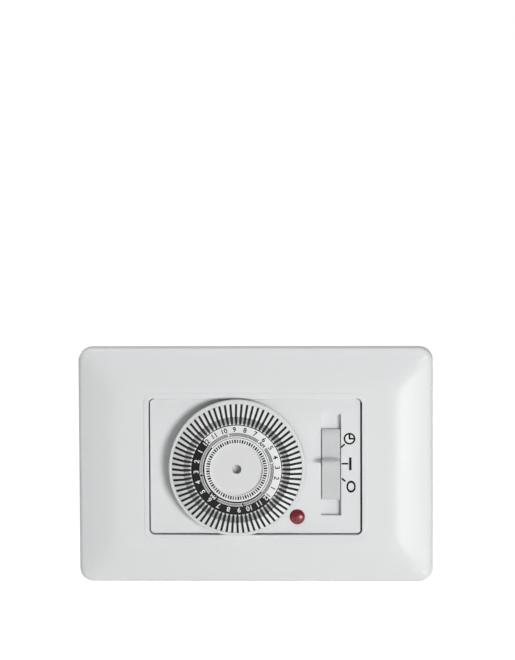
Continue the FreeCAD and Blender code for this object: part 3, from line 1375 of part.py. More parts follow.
def make_dial_drum():
    """The dark drum: a slotted floor, the comb between the tabs and the ring that takes the hub."""
    body = new_body("dial_drum")
    floor = sketch(body, "drum_floor_outline", drum_back)
    circle(floor, 0.0, 0.0, d.drum_radius)
    circle(floor, 0.0, 0.0, d.axle_radius + d.running_play)
    pad(body, "drum_floor", floor, d.drum_base)
    ledge = sketch(body, "comb_ledge_outline", drum_floor - JOIN)
    circle(ledge, 0.0, 0.0, d.comb_outer)
    circle(ledge, 0.0, 0.0, d.comb_ledge)
    pad(body, "comb_ledge", ledge, face_back - drum_floor + JOIN)
    comb = sketch(body, "comb_outline", face_back - JOIN)
    circle(comb, 0.0, 0.0, d.comb_outer)
    circle(comb, 0.0, 0.0, d.comb_inner)
    pad(body, "comb", comb, d.bezel_rise + d.comb_top - face_back + JOIN)
    boss = sketch(body, "hub_seat_outline", drum_floor - JOIN)
    circle(boss, 0.0, 0.0, d.hub_collar + 1.6)
    circle(boss, 0.0, 0.0, d.hub_collar + d.slot_play)
    pad(body, "hub_seat", boss, hub_back - drum_floor + JOIN)
    slot = sketch(body, "tab_slot_outline", drum_back, role="XZ_Plane")
    half = d.tab_thick / 2 + d.slot_play
    rectangle(slot, d.tab_inner - 0.15, d.tab_outer + 0.1, 0 - half, half)
    first = pocket(body, "tab_slot", slot)
    slots = body.newObject("PartDesign::PolarPattern", "tab_slots")
    slots.Originals = [first]
    slots.Axis = (slot, ["N_Axis"])
    slots.Angle = 360
    slots.setExpression("Occurrences", "Sizes.tab_count")
    body.Tip = slots
    body.Placement = FreeCAD.Placement(
        FreeCAD.Vector(), FreeCAD.Rotation(FreeCAD.Vector(0, 1, 0), -value_of(d.tab_first))
    )
    return at_dial(body, "dial_drum")


def make_dial_dress():
    """The white rim, the printed face and the turning hub."""
    rim = new_body("dial_rim")
    rim_back = lip_top + d.rim_float
    rim_front = d.bezel_rise + d.rim_top
    revolve(
        rim,
        "rim_turning",
        [
            (d.drum_radius + 0.02, rim_back),
            (d.rim_outer - 0.3, rim_back),
            (d.rim_outer, rim_back + 0.3),
            (d.rim_outer, rim_front - 0.5),
            (d.rim_outer - 0.15, rim_front - 0.15),
            (d.rim_outer - 0.5, rim_front),
            (d.rim_inner, rim_front),
            (d.rim_inner, drum_floor),
            (d.drum_radius + 0.02, drum_floor),
        ],
    )
    at_dial(rim, "dial_rim")
    face = new_body("dial_face")
    revolve(
        face,
        "face_turning",
        [
            (d.hub_radius + d.slot_play, face_back),
            (d.print_radius, face_back),
            (d.print_radius, face_top - 0.3),
            (d.print_radius - 0.25, face_top),
            (d.hub_radius + d.slot_play, face_top),
        ],
    )
    at_dial(face, "dial_face")
    hub = new_body("hub_cap")
    revolve(
        hub,
        "hub_turning",
        [
            (d.hub_hole, hub_top),
            (d.hub_radius, hub_top),
            (d.hub_radius, hub_back),
            (d.hub_collar, hub_back),
            (d.hub_collar, hub_back - 1.7),
            (d.hub_collar - 1.1, hub_back - 1.7),
            (d.hub_collar - 1.1, hub_back),
            (d.hub_hole + 1.9, hub_back),
            (d.hub_hole + 1.9, hub_top - d.hub_hole_depth - 0.7),
            (0.0, hub_top - d.hub_hole_depth - 0.7),
            (0.0, hub_top - d.hub_hole_depth),
            (d.hub_hole, hub_top - d.hub_hole_depth),
        ],
    )
    at_dial(hub, "hub_cap")
    washer = new_body("clutch_spring")
    seat = drum_back - d.clutch_height
    revolve(
        washer,
        "washer_turning",
        [
            (d.axle_radius + 0.5, drum_back - 0.3),
            (d.gear_hub - 0.5, seat),
            (d.gear_hub - 0.5, seat + 0.3),
            (d.axle_radius + 0.5, drum_back),
        ],
    )
    at_dial(washer, "clutch_spring")


def make_tab():
    """One trip tab standing on +X of the dial: a thin blade, its foot and the wide sloping head."""
    body = new_body("tab_pattern")
    crest = d.bezel_rise + d.tab_crest
    end = d.bezel_rise + d.tab_end
    under = drum_floor + d.tab_travel + d.head_play
    blade = polygon(
        sketch(body, "blade_outline", role="XY_Plane"),
        [
            (d.tab_inner, 0 - crest + 0.5),
            (d.tab_inner + 0.6, 0 - crest),
            (d.head_inner, 0 - crest),
            (d.tab_outer, 0 - end),
            (d.tab_outer, 0 - under + 1.2),
            (d.foot_outer, 0 - under + 1.2),
            (d.foot_outer, 0 - foot_rest),
            (d.tab_inner + 0.2, 0 - foot_rest),
            (d.tab_inner + 0.2, 0 - under + 1.2),
            (d.tab_inner, 0 - under + 1.2),
        ],
    )
    pad(body, "blade", blade, d.tab_thick, both_ways=True)
    head = polygon(
        sketch(body, "head_outline", under),
        [
            (d.head_inner, 0 - d.head_narrow / 2),
            (d.head_outer, 0 - d.head_wide / 2),
            (d.head_outer, d.head_wide / 2),
            (d.head_inner, d.head_narrow / 2),
        ],
    )
    pad(body, "head", head, crest - under)
    fall = (crest - end) / (d.tab_outer - d.head_inner)
    slope = polygon(
        sketch(body, "slope_outline", role="XY_Plane"),
        [
            (d.head_inner, 0 - crest),
            (d.head_outer + 1, 0 - crest + fall * (d.head_outer + 1 - d.head_inner)),
            (d.head_outer + 1, 0 - crest - 1),
            (d.head_inner, 0 - crest - 1),
        ],
    )
    pocket(body, "slope", slope)
    return body


def make_tabs():
    """The tabs of each hour are one group, because three fill an hour on the dial."""
    pattern = make_tab()
    hours = 24
    per_hour = round(value_of(d.tab_count)) // hours
    step = 360 / value_of(d.tab_count)
    turned = []
    for k in range(per_hour):
        copy = group(f"tab_copy_{k + 1}", [pattern])
        copy.Placement = FreeCAD.Placement(
            FreeCAD.Vector(), FreeCAD.Rotation(FreeCAD.Vector(0, 1, 0), -step * k)
        )
        turned.append(copy)
    for hour in range(hours):
        tabs = group(f"tab_group_{hour:02d}", turned)
        angle = value_of(d.tab_first) + step * per_hour * hour
        tabs.Placement = FreeCAD.Placement(
            FreeCAD.Vector(), FreeCAD.Rotation(FreeCAD.Vector(0, 1, 0), -angle)
        )
        at_dial(tabs, f"trip_tabs_{hour:02d}")


make_cover_plate()
make_support_frame()
make_front_bezel()
make_rear_case()
make_case_screws()
make_terminals()
make_movement_plate()
make_plate_screws()
make_axle_and_pin()
make_gears()
make_motor()
make_switch_body()
make_plunger()
make_follower()
make_strips()
make_selector()
make_lamp()
make_dial_drum()
make_dial_dress()
make_tabs()
doc.recompute()

for item in doc.Objects:
    if {"Invalid", "Error"} & set(item.State):
        raise RuntimeError(f"{item.Label} did not build: {item.State}")
for item in SUBPARTS:
    if item.Shape.isNull() or not item.Shape.isValid() or item.Shape.Volume <= 0:
        raise RuntimeError(f"{item.Label} has no sound shape")

os.makedirs("parts", exist_ok=True)
for item in SUBPARTS:
    item.Shape.exportStep(f"parts/{item.Label}.step")
    print(f"{item.Label}: {len(item.Shape.Solids)} solid(s), {item.Shape.Volume:.1f} mm3")
print(len(SUBPARTS), "parts")
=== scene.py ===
import json
import math

import bmesh
import bpy
from bpy.props import FloatProperty, FloatVectorProperty, IntProperty, PointerProperty
from bpy.types import Operator, Panel, PropertyGroup
from mathutils import Matrix, Vector


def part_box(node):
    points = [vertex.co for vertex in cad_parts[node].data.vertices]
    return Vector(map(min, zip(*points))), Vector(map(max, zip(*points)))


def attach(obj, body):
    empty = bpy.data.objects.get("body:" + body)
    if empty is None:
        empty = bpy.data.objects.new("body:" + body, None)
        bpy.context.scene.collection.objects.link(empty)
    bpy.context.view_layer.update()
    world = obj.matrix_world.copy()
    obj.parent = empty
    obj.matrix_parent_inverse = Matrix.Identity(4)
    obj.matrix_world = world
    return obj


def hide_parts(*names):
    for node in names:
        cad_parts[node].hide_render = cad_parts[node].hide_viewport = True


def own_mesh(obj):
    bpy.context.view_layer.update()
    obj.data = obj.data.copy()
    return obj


# The dressed time switch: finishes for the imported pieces, the dial's print and comb, the skins and
# marks of the face, the plunger's coil, the marks on the back, and the studio. Metres, +Z up, front
# towards -Y. A rise is a distance out of the wall towards the room.

bl_info = {
    "name": "Wall time switch",
    "version": (1, 0, 0),
    "blender": (4, 5, 0),
    "location": "View3D > Sidebar > Time switch",
    "description": "Dresses the packed wall time switch and lights it",
    "category": "Object",
}

MM = 0.001
# The radius of the last ring of a turned piece, too small to see
TIP = 0.001 * MM
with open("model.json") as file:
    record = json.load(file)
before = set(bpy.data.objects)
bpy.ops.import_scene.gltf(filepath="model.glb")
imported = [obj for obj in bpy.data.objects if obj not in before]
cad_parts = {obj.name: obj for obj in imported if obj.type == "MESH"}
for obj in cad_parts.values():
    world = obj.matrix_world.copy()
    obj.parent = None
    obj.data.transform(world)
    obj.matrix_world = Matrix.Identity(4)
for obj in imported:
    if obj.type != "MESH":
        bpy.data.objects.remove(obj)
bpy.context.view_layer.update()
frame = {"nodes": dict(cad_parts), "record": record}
SLOT_OF = {part["node"]: part["material_slot"] for part in frame["record"]["subparts"]}
FACE_LOW, FACE_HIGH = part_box("dial_face")
DIAL_X = (FACE_LOW.x + FACE_HIGH.x) / 2
FACE_RISE = -FACE_LOW.y
BEZEL_RISE = -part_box("front_bezel")[0].y
LENS_LOW, LENS_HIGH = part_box("indicator_lens")
CASE_RISE = -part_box("rear_case")[1].y

# Angles on the dial, in degrees from the right, anticlockwise
MIDNIGHT = -42.0
HOUR = 15
AM_PLACE = 45
PM_PLACE = 229


def screen(red, green, blue):
    """A colour as it is seen on the screen, from 0 to 255, in the linear values that Blender keeps."""
    def linear(value):
        value /= 255
        return value / 12.92 if value <= 0.04045 else ((value + 0.055) / 1.055) ** 2.4

    return (linear(red), linear(green), linear(blue), 1.0)


def colour(name, description, *tone):
    return FloatVectorProperty(
        name=name, description=description, default=screen(*tone), size=4, subtype="COLOR", min=0, max=1
    )


def length(name, description, millimetres):
    return FloatProperty(
        name=name, description=description, default=millimetres * MM, min=0, precision=5,
        subtype="DISTANCE", unit="LENGTH",
    )


def angle(name, description, degrees):
    return FloatProperty(
        name=name, description=description, default=math.radians(degrees), subtype="ANGLE", unit="ROTATION"
    )


def power(name, description, watts):
    return FloatProperty(name=name, description=description, default=watts, min=0, unit="POWER")


class SwitchColours(PropertyGroup):
    plate: colour("Cover plate", "Moulded cover plate", 226, 228, 229)
    bezel: colour("Bezel", "Front bezel with the dial's mouth", 226, 228, 229)
    slider: colour("Selector", "Sliding selector", 203, 205, 206)
    dial: colour("Dial", "White rim and hub of the dial", 222, 223, 223)
    print_white: colour("Day half", "White half of the printed ring", 232, 233, 233)
    print_black: colour("Night half", "Black half of the printed ring", 18, 18, 20)
    drum: colour("Drum", "Dark drum between the tabs", 30, 31, 34)
    tab: colour("Trip tabs", "Tabs round the dial", 236, 237, 236)
    lens: colour("Pilot lens", "Red lens of the pilot light", 130, 26, 38)
    glass: colour("Lamp glass", "Glass of the neon lamp", 240, 228, 214)
    case: colour("Case", "Box behind the wall plane", 196, 198, 200)
    zinc: colour("Support frame", "Zinc plated sheet", 176, 178, 178)
    movement: colour("Movement plate", "Zinc plated movement plate", 186, 186, 182)
    turned: colour("Turned steel", "Axle, pins and screws", 192, 192, 190)
    brass: colour("Brass", "Contacts and clamps", 198, 164, 96)
    coil: colour("Coil", "Motor winding", 112, 58, 30)
    gear: colour("Gears", "Moulded gears", 228, 226, 216)
    rotor: colour("Rotor", "Magnet of the rotor", 58, 58, 62)
    ink: colour("Ink", "Printed marks and figures", 14, 14, 15)
    hatching: colour("Hatching", "Grey hatching of the day's arrows", 121, 121, 124)
    dust: colour("Dust", "Fine dust that settles on upper faces", 196, 194, 188)


class SwitchSizes(PropertyGroup):
    plate_flat: length("Plate flat", "Rise of the plate's flat round the window", 9.3)
    plate_rim: length("Plate rim", "Rise of the plate's outer rim", 6.0)
    plate_corner: length("Plate corner", "Radius of the plate's corners", 4.7)
    plate_round: length("Plate edge", "Rounding of the plate's outer edge", 1.8)
    slope_side: length("Side slopes", "Width of the slopes at the plate's ends", 14.6)
    slope_end: length("Long slopes", "Width of the slopes above and below", 14.8)
    slope_turn: length("Slope turn", "Width of the soft turn between the plate's flat and its slopes", 5.0)
    slope_turn_drop: length("Turn drop", "How far that turn falls", 0.68)
    skin: length("Skin", "How far the plate's smooth skin stands off the solid", 0.05)
    skin_wide: length("Skin opening, across", "Half the width of the opening in the skin", 37.7)
    skin_high: length("Skin opening, upwards", "Half the height of the opening in the skin", 24.95)
    lip_long: length("Lip", "Length of the lip along the window's upper edge", 68.4)
    lip_thick: length("Lip thickness", "Thickness of that lip", 0.34)
    lip_place: length("Lip place", "The lip above the plate's middle", 23.14)
    # The window's dark strips are painted shadow: ink put in the gaps at the bezel's ends, where there is
    # only shade
    seam_long: length("Seams", "Length of the dark seams at the bezel's ends", 43.4)
    fin_inner: length("Fins, inside", "Inner end of the dark fins between the tabs", 18.02)
    fin_outer: length("Fins, outside", "Outer end of the fins", 21.92)
    fin_foot: length("Fin foot", "Rise of the fins' feet", 10.15)
    fin_crest: length("Fin crest", "Rise of the fins at their inner end", 16.59)
    fin_fall: length("Fin fall", "How far the fins fall to their outer end", 2.85)
    fin_wide: length("Fin", "Thickness of the fins", 0.5)
    fin_cap: length("Fin cap", "Width of the fins' caps along the tabs' edges", 0.77)
    fin_step: length("Fin step", "Each of the two steps of a fin's cap", 0.05)
    tooth_inner: length("Teeth, inside", "Inner end of the light teeth round the print", 15.38)
    tooth_outer: length("Teeth, outside", "Outer end of the teeth", 15.7)
    tooth_wide: length("Tooth", "Width of a tooth", 0.82)
    tooth_foot: length("Tooth foot", "Rise of the teeth's feet", 16.05)
    tooth_top: length("Tooth top", "Rise of the teeth's tops", 16.25)
    ink_height: length("Ink height", "How far a printed mark stands up", 0.03)
    tick_inner: length("Ticks, inside", "Inner end of the ticks round the hub", 9.1)
    tick_outer: length("Ticks, outside", "Outer end of the ticks round the hub", 10.3)
    tick_wide: length("Hour tick", "Width of the tick of each hour", 0.56)
    tick_thin: length("Third tick", "Width of the ticks between the hours", 0.4)
    tick_count: IntProperty(name="Ticks", description="Ticks, tabs and fins all round", default=72, min=24)
    ring_radius: length("Ring", "Thin ring outside the ticks", 10.92)
    ring_line: length("Ring line", "Width of the thin printed lines", 0.16)
    band_inner: length("Arrow band, inside", "Inner line of the arrows", 11.55)
    band_outer: length("Arrow band, outside", "Outer line of the arrows", 12.4)
    figure_radius: length("Figures", "Distance of the figures from the axis", 13.65)
    figure_size: length("Figure size", "Size of the hour figures", 2.35)
    figure_gap: length("Figure gap", "Each figure of the twelve from its middle", 0.68)
    letter_size: length("AM and PM size", "Size of the letters in the arrow band", 1.65)
    bolder: length("Bolder", "Figures thickened all round", 0.045)
    print_edge: length("Print edge", "Rounding of the printed ring's edge", 0.25)
    mark_line: length("Mark line", "Stroke of the selector's position marks", 0.58)
    bar_line: length("Bar line", "Stroke of the bar among them", 0.85)
    lens_radius: length("Pilot lens", "Radius of the pilot light's dome", 2.55)
    coil_wire: length("Coil wire", "Wire of the plunger's coil", 0.35)
    coil_turns: IntProperty(name="Coil turns", description="Turns of the plunger's coil", default=6, min=2)
    plunger_travel: length("Plunger travel", "How far the plunger goes back", 1.32)


class StudioSettings(PropertyGroup):
    azimuth: angle("Azimuth", "Camera to the right of the front", 1.8)
    elevation: angle("Elevation", "Camera above the horizon", 8.5)
    roll: angle("Roll", "Camera turned about its view, anticlockwise", -0.25)
    distance: length("Distance", "Camera from the middle of the plate", 1600.0)
    lens: FloatProperty(name="Lens", description="Focal length", default=256.2, unit="CAMERA", min=1)
    aim_up: length("Aim up", "The view's middle above the plate's middle", 45.2)
    aim_right: length("Aim right", "The view's middle right of the plate's middle", 0.62)
    key_power: power("Key light", "Power of the main light", 14.5)
    fill_power: power("Fill light", "Power of the fill light", 0.3)
    top_power: power("Top light", "Power of the light above", 4.6)
    rim_power: power("Rim light", "Power of the light that grazes the left and upper edges", 3.2)
    ambient: FloatProperty(name="Ambient", description="Strength of the room's light", default=0.125, min=0)
    floor_drop: length("Floor", "Floor below the middle of the plate", 260.0)
    floor_size: length("Floor size", "Each side of the floor", 8000.0)


# Working by hand: what each operator uses


def settings(context):
    scene = context.scene
    return scene.switch_colours, scene.switch_sizes, scene.switch_studio


def calm():
    """Leave edit mode and deselect everything."""
    if bpy.context.object and bpy.context.object.mode != "OBJECT":
        bpy.ops.object.mode_set(mode="OBJECT")
    bpy.ops.object.select_all(action="DESELECT")


def opened():
    """Open the active piece's mesh with all of it selected."""
    bpy.ops.object.mode_set(mode="EDIT")
    bpy.ops.mesh.select_all(action="SELECT")


def settle(name):
    """Put the place of the newest object into its mesh and open it for editing."""
    piece = bpy.context.object
    piece.name = name
    piece.data.name = name
    bpy.ops.object.transform_apply(location=True, rotation=True, scale=True)
    opened()
    return piece


def raised(rise):
    """Draw the selected faces out of the wall."""
    bpy.ops.mesh.extrude_region_move(TRANSFORM_OT_translate={"value": (0, -rise, 0)})


def resized(across, up, x, z):
    """Make the selection wider and higher about a point of the wall."""
    bpy.ops.transform.resize(value=(across, 1, up), center_override=(x, 0, z))


def close_up(piece, smooth=40):
    """Merge doubles, turn the faces outwards, and shade."""
    bpy.ops.mesh.select_all(action="SELECT")
    bpy.ops.mesh.remove_doubles(threshold=1e-7)
    bpy.ops.mesh.normals_make_consistent(inside=False)
    bpy.ops.object.mode_set(mode="OBJECT")
    bpy.ops.object.shade_smooth_by_angle(angle=math.radians(smooth))
    return piece


def draw_out(rings, x, z):
    """Draw the selected outline out, ring by ring: half its width, half its height and its rise."""
    wide, high, rise = rings[0]
    for next_wide, next_high, next_rise in rings[1:]:
        bpy.ops.mesh.extrude_edges_move(TRANSFORM_OT_translate={"value": (0, rise - next_rise, 0)})
        resized(next_wide / wide, next_high / high, x, z)
        wide, high, rise = next_wide, next_high, next_rise


def turned(name, rings, x, z, sides):
    """A turned piece: a circle drawn out ring by ring. Each ring is a radius and a rise, in metres."""
    calm()
    radius, rise = rings[0]
    bpy.ops.mesh.primitive_circle_add(
        vertices=sides, radius=radius, location=(x, -rise, z), rotation=(math.pi / 2, 0, 0)
    )
    piece = settle(name)
    draw_out([(radius, radius, rise) for radius, rise in rings], x, z)
    return close_up(piece)


def slab(name, width, height, x, z, back, front, turn=0.0, bevel=0.0):
    """A flat bar square to the wall, turned about its middle, with its front edges softened."""
    calm()
    bpy.ops.mesh.primitive_plane_add(size=1, location=(x, -back, z), rotation=(math.pi / 2, -turn, 0))
    bpy.context.object.scale = (width, height, 1)
    piece = settle(name)
    raised(front - back)
    if bevel:
        bpy.ops.mesh.bevel(offset=bevel, segments=2, affect="EDGES")
    return close_up(piece, 30)


def lettering(name, text, size, x, rise, z, turn=0.0, height=0.00003, from_behind=False, bolder=0.0):
    """Raised or printed letters, made a mesh before they are placed."""
    calm()
    around = math.pi if from_behind else 0.0
    bpy.ops.object.text_add(location=(0, 0, 0))
    words = bpy.context.object
    words.data.body = text
    words.data.size = size
    words.data.extrude = height / 2
    words.data.offset = bolder
    words.data.resolution_u = 3
    words.data.align_x = "CENTER"
    words.data.align_y = "CENTER"
    bpy.ops.object.convert(target="MESH")
    words = bpy.context.object
    words.name = name
    words.data.name = name
    words.rotation_euler = (math.pi / 2, -turn, around)
    out = -1 if from_behind else 1
    words.location = (x, -(rise + out * height / 2), z)
    bpy.ops.object.transform_apply(location=True, rotation=True, scale=True)
    bpy.ops.object.mode_set(mode="EDIT")
    return close_up(words, 30)


def cut(places):
    """Cut the open mesh across at some heights."""
    for z in places:
        bpy.ops.mesh.select_all(action="SELECT")
        bpy.ops.mesh.bisect(plane_co=(0, 0, z), plane_no=(0, 0, 1))


def joined(name, pieces):
    """Several pieces made one mesh."""
    calm()
    for piece in pieces:
        piece.select_set(True)
    bpy.context.view_layer.objects.active = pieces[0]
    if len(pieces) > 1:
        bpy.ops.object.join()
    piece = bpy.context.object
    piece.name = name
    piece.data.name = name
    return piece


def swung(degrees):
    """Turn the mesh in hand about the dial's axis, anticlockwise."""
    opened()
    bpy.ops.transform.rotate(value=math.radians(degrees), orient_axis="Y", center_override=(DIAL_X, 0, 0))
    bpy.ops.object.mode_set(mode="OBJECT")


def repeated(piece, count):
    """Copies of the piece's mesh all round the dial."""
    calm()
    piece.select_set(True)
    bpy.context.view_layer.objects.active = piece
    opened()
    bpy.ops.mesh.spin(steps=count, dupli=True, angle=math.tau, center=(DIAL_X, 0, 0), axis=(0, -1, 0))
    return close_up(piece, 30)


def select_spots(piece, wanted, kind="VERT"):
    """Select the vertices or faces of the open mesh whose place passes the test."""
    bpy.ops.mesh.select_all(action="DESELECT")
    bpy.ops.mesh.select_mode(type=kind)
    mesh = bmesh.from_edit_mesh(piece.data)
    for item in mesh.verts if kind == "VERT" else mesh.faces:
        item.select_set(bool(wanted(item.co if kind == "VERT" else item.calc_center_median())))
    mesh.select_flush_mode()
    bmesh.update_edit_mesh(piece.data)


def dressed(piece, finish, body):
    """Give a piece its finish and the body that it rides on."""
    piece.data.materials.clear()
    piece.data.materials.append(bpy.data.materials[finish])
    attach(piece, body)


def at_clock(radius, degrees):
    """A place on the dial, at an angle counted from the right, anticlockwise."""
    turn = math.radians(degrees)
    return DIAL_X + radius * math.cos(turn), radius * math.sin(turn)


def by_day(degrees):
    """Whether an angle on the dial lies in the white half."""
    return (degrees - MIDNIGHT) % 360 < 180


# Shared effects


def wired(tree, node, inputs):
    """Give a node's inputs, by name or number, a value or another node's output."""
    for label, value in inputs.items():
        if hasattr(value, "node"):
            tree.links.new(value, node.inputs[label])
        else:
            node.inputs[label].default_value = value
    return node


def made(tree, kind, inputs, **settings_of_node):
    """A new shader node with its settings and its inputs."""
    node = tree.nodes.new("ShaderNode" + kind)
    for label, value in settings_of_node.items():
        setattr(node, label, value)
    return wired(tree, node, inputs)


def new_group(name, inputs, outputs):
    """An empty node group with its sockets. An input is a name, a kind and a default."""
    group = bpy.data.node_groups.new(name, "ShaderNodeTree")
    for label, kind, default in inputs:
        socket = group.interface.new_socket(label, in_out="INPUT", socket_type="NodeSocket" + kind)
        if default is not None:
            socket.default_value = default
    for label, kind in outputs:
        group.interface.new_socket(label, in_out="OUTPUT", socket_type="NodeSocket" + kind)
    return group, group.nodes.new("NodeGroupInput").outputs, group.nodes.new("NodeGroupOutput")


def noise(tree, vector, scale, detail=2.0, roughness=0.5):
    """A noise texture; its scale is a number or an output."""
    inputs = {"Vector": vector, "Scale": scale, "Detail": detail, "Roughness": roughness}
    return made(tree, "TexNoise", inputs).outputs["Fac"]


def spread(tree, value, low, high, to_low=0.0, to_high=1.0):
    """A value stretched from one range to another and clamped."""
    inputs = {"Value": value, "From Min": low, "From Max": high, "To Min": to_low, "To Max": to_high}
    return made(tree, "MapRange", inputs).outputs["Result"]


def calculated(tree, kind, first, second):
    """Two numbers or outputs added, multiplied or compared."""
    return made(tree, "Math", {0: first, 1: second}, operation=kind).outputs[0]


def mixed(tree, factor, first, second, blend="MIX"):
    """Two colours or outputs mixed by a factor."""
    colour_a, colour_b, colour_out = 6, 7, 2
    inputs = {0: factor, colour_a: first, colour_b: second}
    return made(tree, "Mix", inputs, data_type="RGBA", blend_type=blend).outputs[colour_out]


def make_moulded_skin():
    """Moulded plastic: fine grain, slow drift of tone, and faint handling smears that change the gloss."""
    tree, given, out = new_group(
        "moulded_skin",
        [("Position", "Vector", None), ("Colour", "Color", (0.8, 0.8, 0.8, 1)), ("Drift", "Float", 0.05),
         ("Grain", "Float", 2600.0), ("Roughness", "Float", 0.4), ("Smear", "Float", 0.06)],
        [("Colour", "Color"), ("Roughness", "Float"), ("Height", "Float")],
    )
    place, tint = given["Position"], given["Colour"]
    broad = spread(tree, noise(tree, place, 22.0, 3.0), 0.32, 0.68)
    speck = spread(tree, noise(tree, place, 900.0, 1.0), 0.3, 0.7)
    shade = calculated(tree, "MULTIPLY", broad, given["Drift"])
    shade = calculated(tree, "ADD", shade, calculated(tree, "MULTIPLY", speck, 0.012))
    dark = mixed(tree, 1.0, tint, (0.62, 0.63, 0.66, 1), "MULTIPLY")
    smear = spread(tree, noise(tree, place, 75.0, 4.0, 0.6), 0.46, 0.66)
    change = calculated(tree, "MULTIPLY", smear, given["Smear"])
    fine = noise(tree, place, given["Grain"], 2.0, 0.55)
    slow = calculated(tree, "MULTIPLY", noise(tree, place, 60.0, 2.0), 1.5)
    wired(tree, out, {
        "Colour": mixed(tree, shade, tint, dark),
        "Roughness": calculated(tree, "ADD", given["Roughness"], change),
        "Height": calculated(tree, "ADD", fine, slow),
    })


def make_settled_dust():
    """Fine dust on faces that look up, broken up by noise."""
    tree, given, out = new_group(
        "settled_dust",
        [("Position", "Vector", None), ("Normal", "Vector", None), ("Colour", "Color", (0.5, 0.5, 0.5, 1)),
         ("Dust", "Color", (0.6, 0.6, 0.6, 1)), ("Amount", "Float", 0.2)],
        [("Colour", "Color")],
    )
    upward = spread(tree, made(tree, "SeparateXYZ", {0: given["Normal"]}).outputs["Z"], 0.1, 0.95)
    broken = spread(tree, noise(tree, given["Position"], 1500.0, 4.0, 0.7), 0.35, 0.75)
    base = calculated(tree, "ADD", calculated(tree, "MULTIPLY", upward, 0.8), 0.2)
    mask = calculated(tree, "MULTIPLY", calculated(tree, "MULTIPLY", base, broken), given["Amount"])
    wired(tree, out, {"Colour": mixed(tree, mask, given["Colour"], given["Dust"])})


def make_rolled_sheet():
    """Rolled and plated metal: long fine lines, blotchy plating and small marks."""
    tree, given, out = new_group(
        "rolled_sheet",
        [("Position", "Vector", None), ("Colour", "Color", (0.6, 0.6, 0.6, 1)), ("Roughness", "Float", 0.35),
         ("Lines", "Float", 1.0)],
        [("Colour", "Color"), ("Roughness", "Float"), ("Height", "Float")],
    )
    place, tint = given["Position"], given["Colour"]
    stretch = made(tree, "Mapping", {"Vector": place, "Scale": (60, 2200, 2200)})
    lines = noise(tree, stretch.outputs["Vector"], 1.0, 3.0, 0.6)
    blotch = spread(tree, noise(tree, place, 160.0, 4.0, 0.6), 0.35, 0.7)
    blotches = calculated(tree, "MULTIPLY", blotch, 0.35)
    shade = calculated(tree, "ADD", blotches, calculated(tree, "MULTIPLY", lines, 0.3))
    dark = mixed(tree, 1.0, tint, (0.7, 0.69, 0.66, 1), "MULTIPLY")
    change = spread(tree, blotch, 0.0, 1.0, -0.06, 0.12)
    wired(tree, out, {
        "Colour": mixed(tree, shade, tint, dark),
        "Roughness": calculated(tree, "ADD", given["Roughness"], change),
        "Height": calculated(tree, "MULTIPLY", lines, given["Lines"]),
    })


def make_turning_marks():
    """Distance from an axis square to the wall, and the fine rings that a lathe or round mould leaves."""
    tree, given, out = new_group(
        "turning_marks",
        [("Position", "Vector", None), ("Centre", "Vector", (0, 0, 0)), ("Pitch", "Float", 4000.0)],
        [("Height", "Float"), ("Radius", "Float")],
    )
    shift = made(tree, "VectorMath", {0: given["Position"], 1: given["Centre"]}, operation="SUBTRACT")
    flat = made(tree, "VectorMath", {0: shift.outputs[0], 1: (1, 0, 1)}, operation="MULTIPLY")
    far = made(tree, "VectorMath", {0: flat.outputs[0]}, operation="LENGTH").outputs["Value"]
    inputs = {"W": calculated(tree, "MULTIPLY", far, given["Pitch"]), "Scale": 1.0, "Detail": 3.0}
    line = made(tree, "TexNoise", inputs, noise_dimensions="1D")
    wired(tree, out, {"Height": line.outputs["Fac"], "Radius": far})


# Finishes


def shader(name):
    """A new material with its Principled BSDF and the place on the piece."""
    material = bpy.data.materials.new(name)
    material.use_nodes = True
    tree = material.node_tree
    return tree, tree.nodes["Principled BSDF"], made(tree, "TexCoord", {}).outputs["Object"]


def use_group(tree, group, place, **values):
    """A shared effect placed in a material, with its own values."""
    node = made(tree, "Group", {}, node_tree=bpy.data.node_groups[group])
    return wired(tree, node, {"Position": place, **values}).outputs


def bumped(tree, height, strength, distance):
    """The normals of a surface that a height makes uneven."""
    inputs = {"Height": height, "Strength": strength, "Distance": distance}
    return made(tree, "Bump", inputs).outputs["Normal"]


def moulded(name, tone, rough, dust_tone, grain=2600.0, depth=0.00002, drift=0.06, smear=0.08, dust=0.0,
            rings=0.0, painted_shading_ring=None, gloss=0.5, coat=0.0, clear=0.0):
    """Moulded plastic: grain, drift of tone, smears, dust or mould rings, and painted shade or light in a
    ring, where they are wanted.

    A painted shading ring is a ring about the dial's axis, painted darker for the shade or lighter for the
    light that falls there: its two radii, and how light it is.
    """
    tree, body, place = shader(name)
    skin = use_group(
        tree, "moulded_skin", place, Colour=tone, Drift=drift, Grain=grain, Roughness=rough, Smear=smear
    )
    tint, height = skin["Colour"], skin["Height"]
    if dust:
        normal = made(tree, "NewGeometry", {}).outputs["Normal"]
        film = use_group(tree, "settled_dust", place, Normal=normal, Colour=tint, Dust=dust_tone, Amount=dust)
        tint = film["Colour"]
    if rings:
        marks = use_group(tree, "turning_marks", place, Centre=(DIAL_X, 0, 0), Pitch=rings)
        height = calculated(tree, "ADD", height, marks["Height"])
    # Painted shade or light: the ring's tone is multiplied by its level, below one for shade and above one
    # for light
    if painted_shading_ring:
        near, far, level = painted_shading_ring
        soft = 0.2 * MM
        radius = use_group(tree, "turning_marks", place, Centre=(DIAL_X, 0, 0))["Radius"]
        inside = spread(tree, radius, near - soft, near)
        within = calculated(tree, "MULTIPLY", inside, spread(tree, radius, far, far + soft, 1.0, 0.0))
        tint = mixed(tree, within, tint, (level, level, level, 1), "MULTIPLY")
    wired(tree, body, {
        "Base Color": tint,
        "Roughness": skin["Roughness"],
        "Specular IOR Level": gloss,
        "Coat Weight": coat,
        "Transmission Weight": clear,
        "Normal": bumped(tree, height, 0.25, depth),
    })


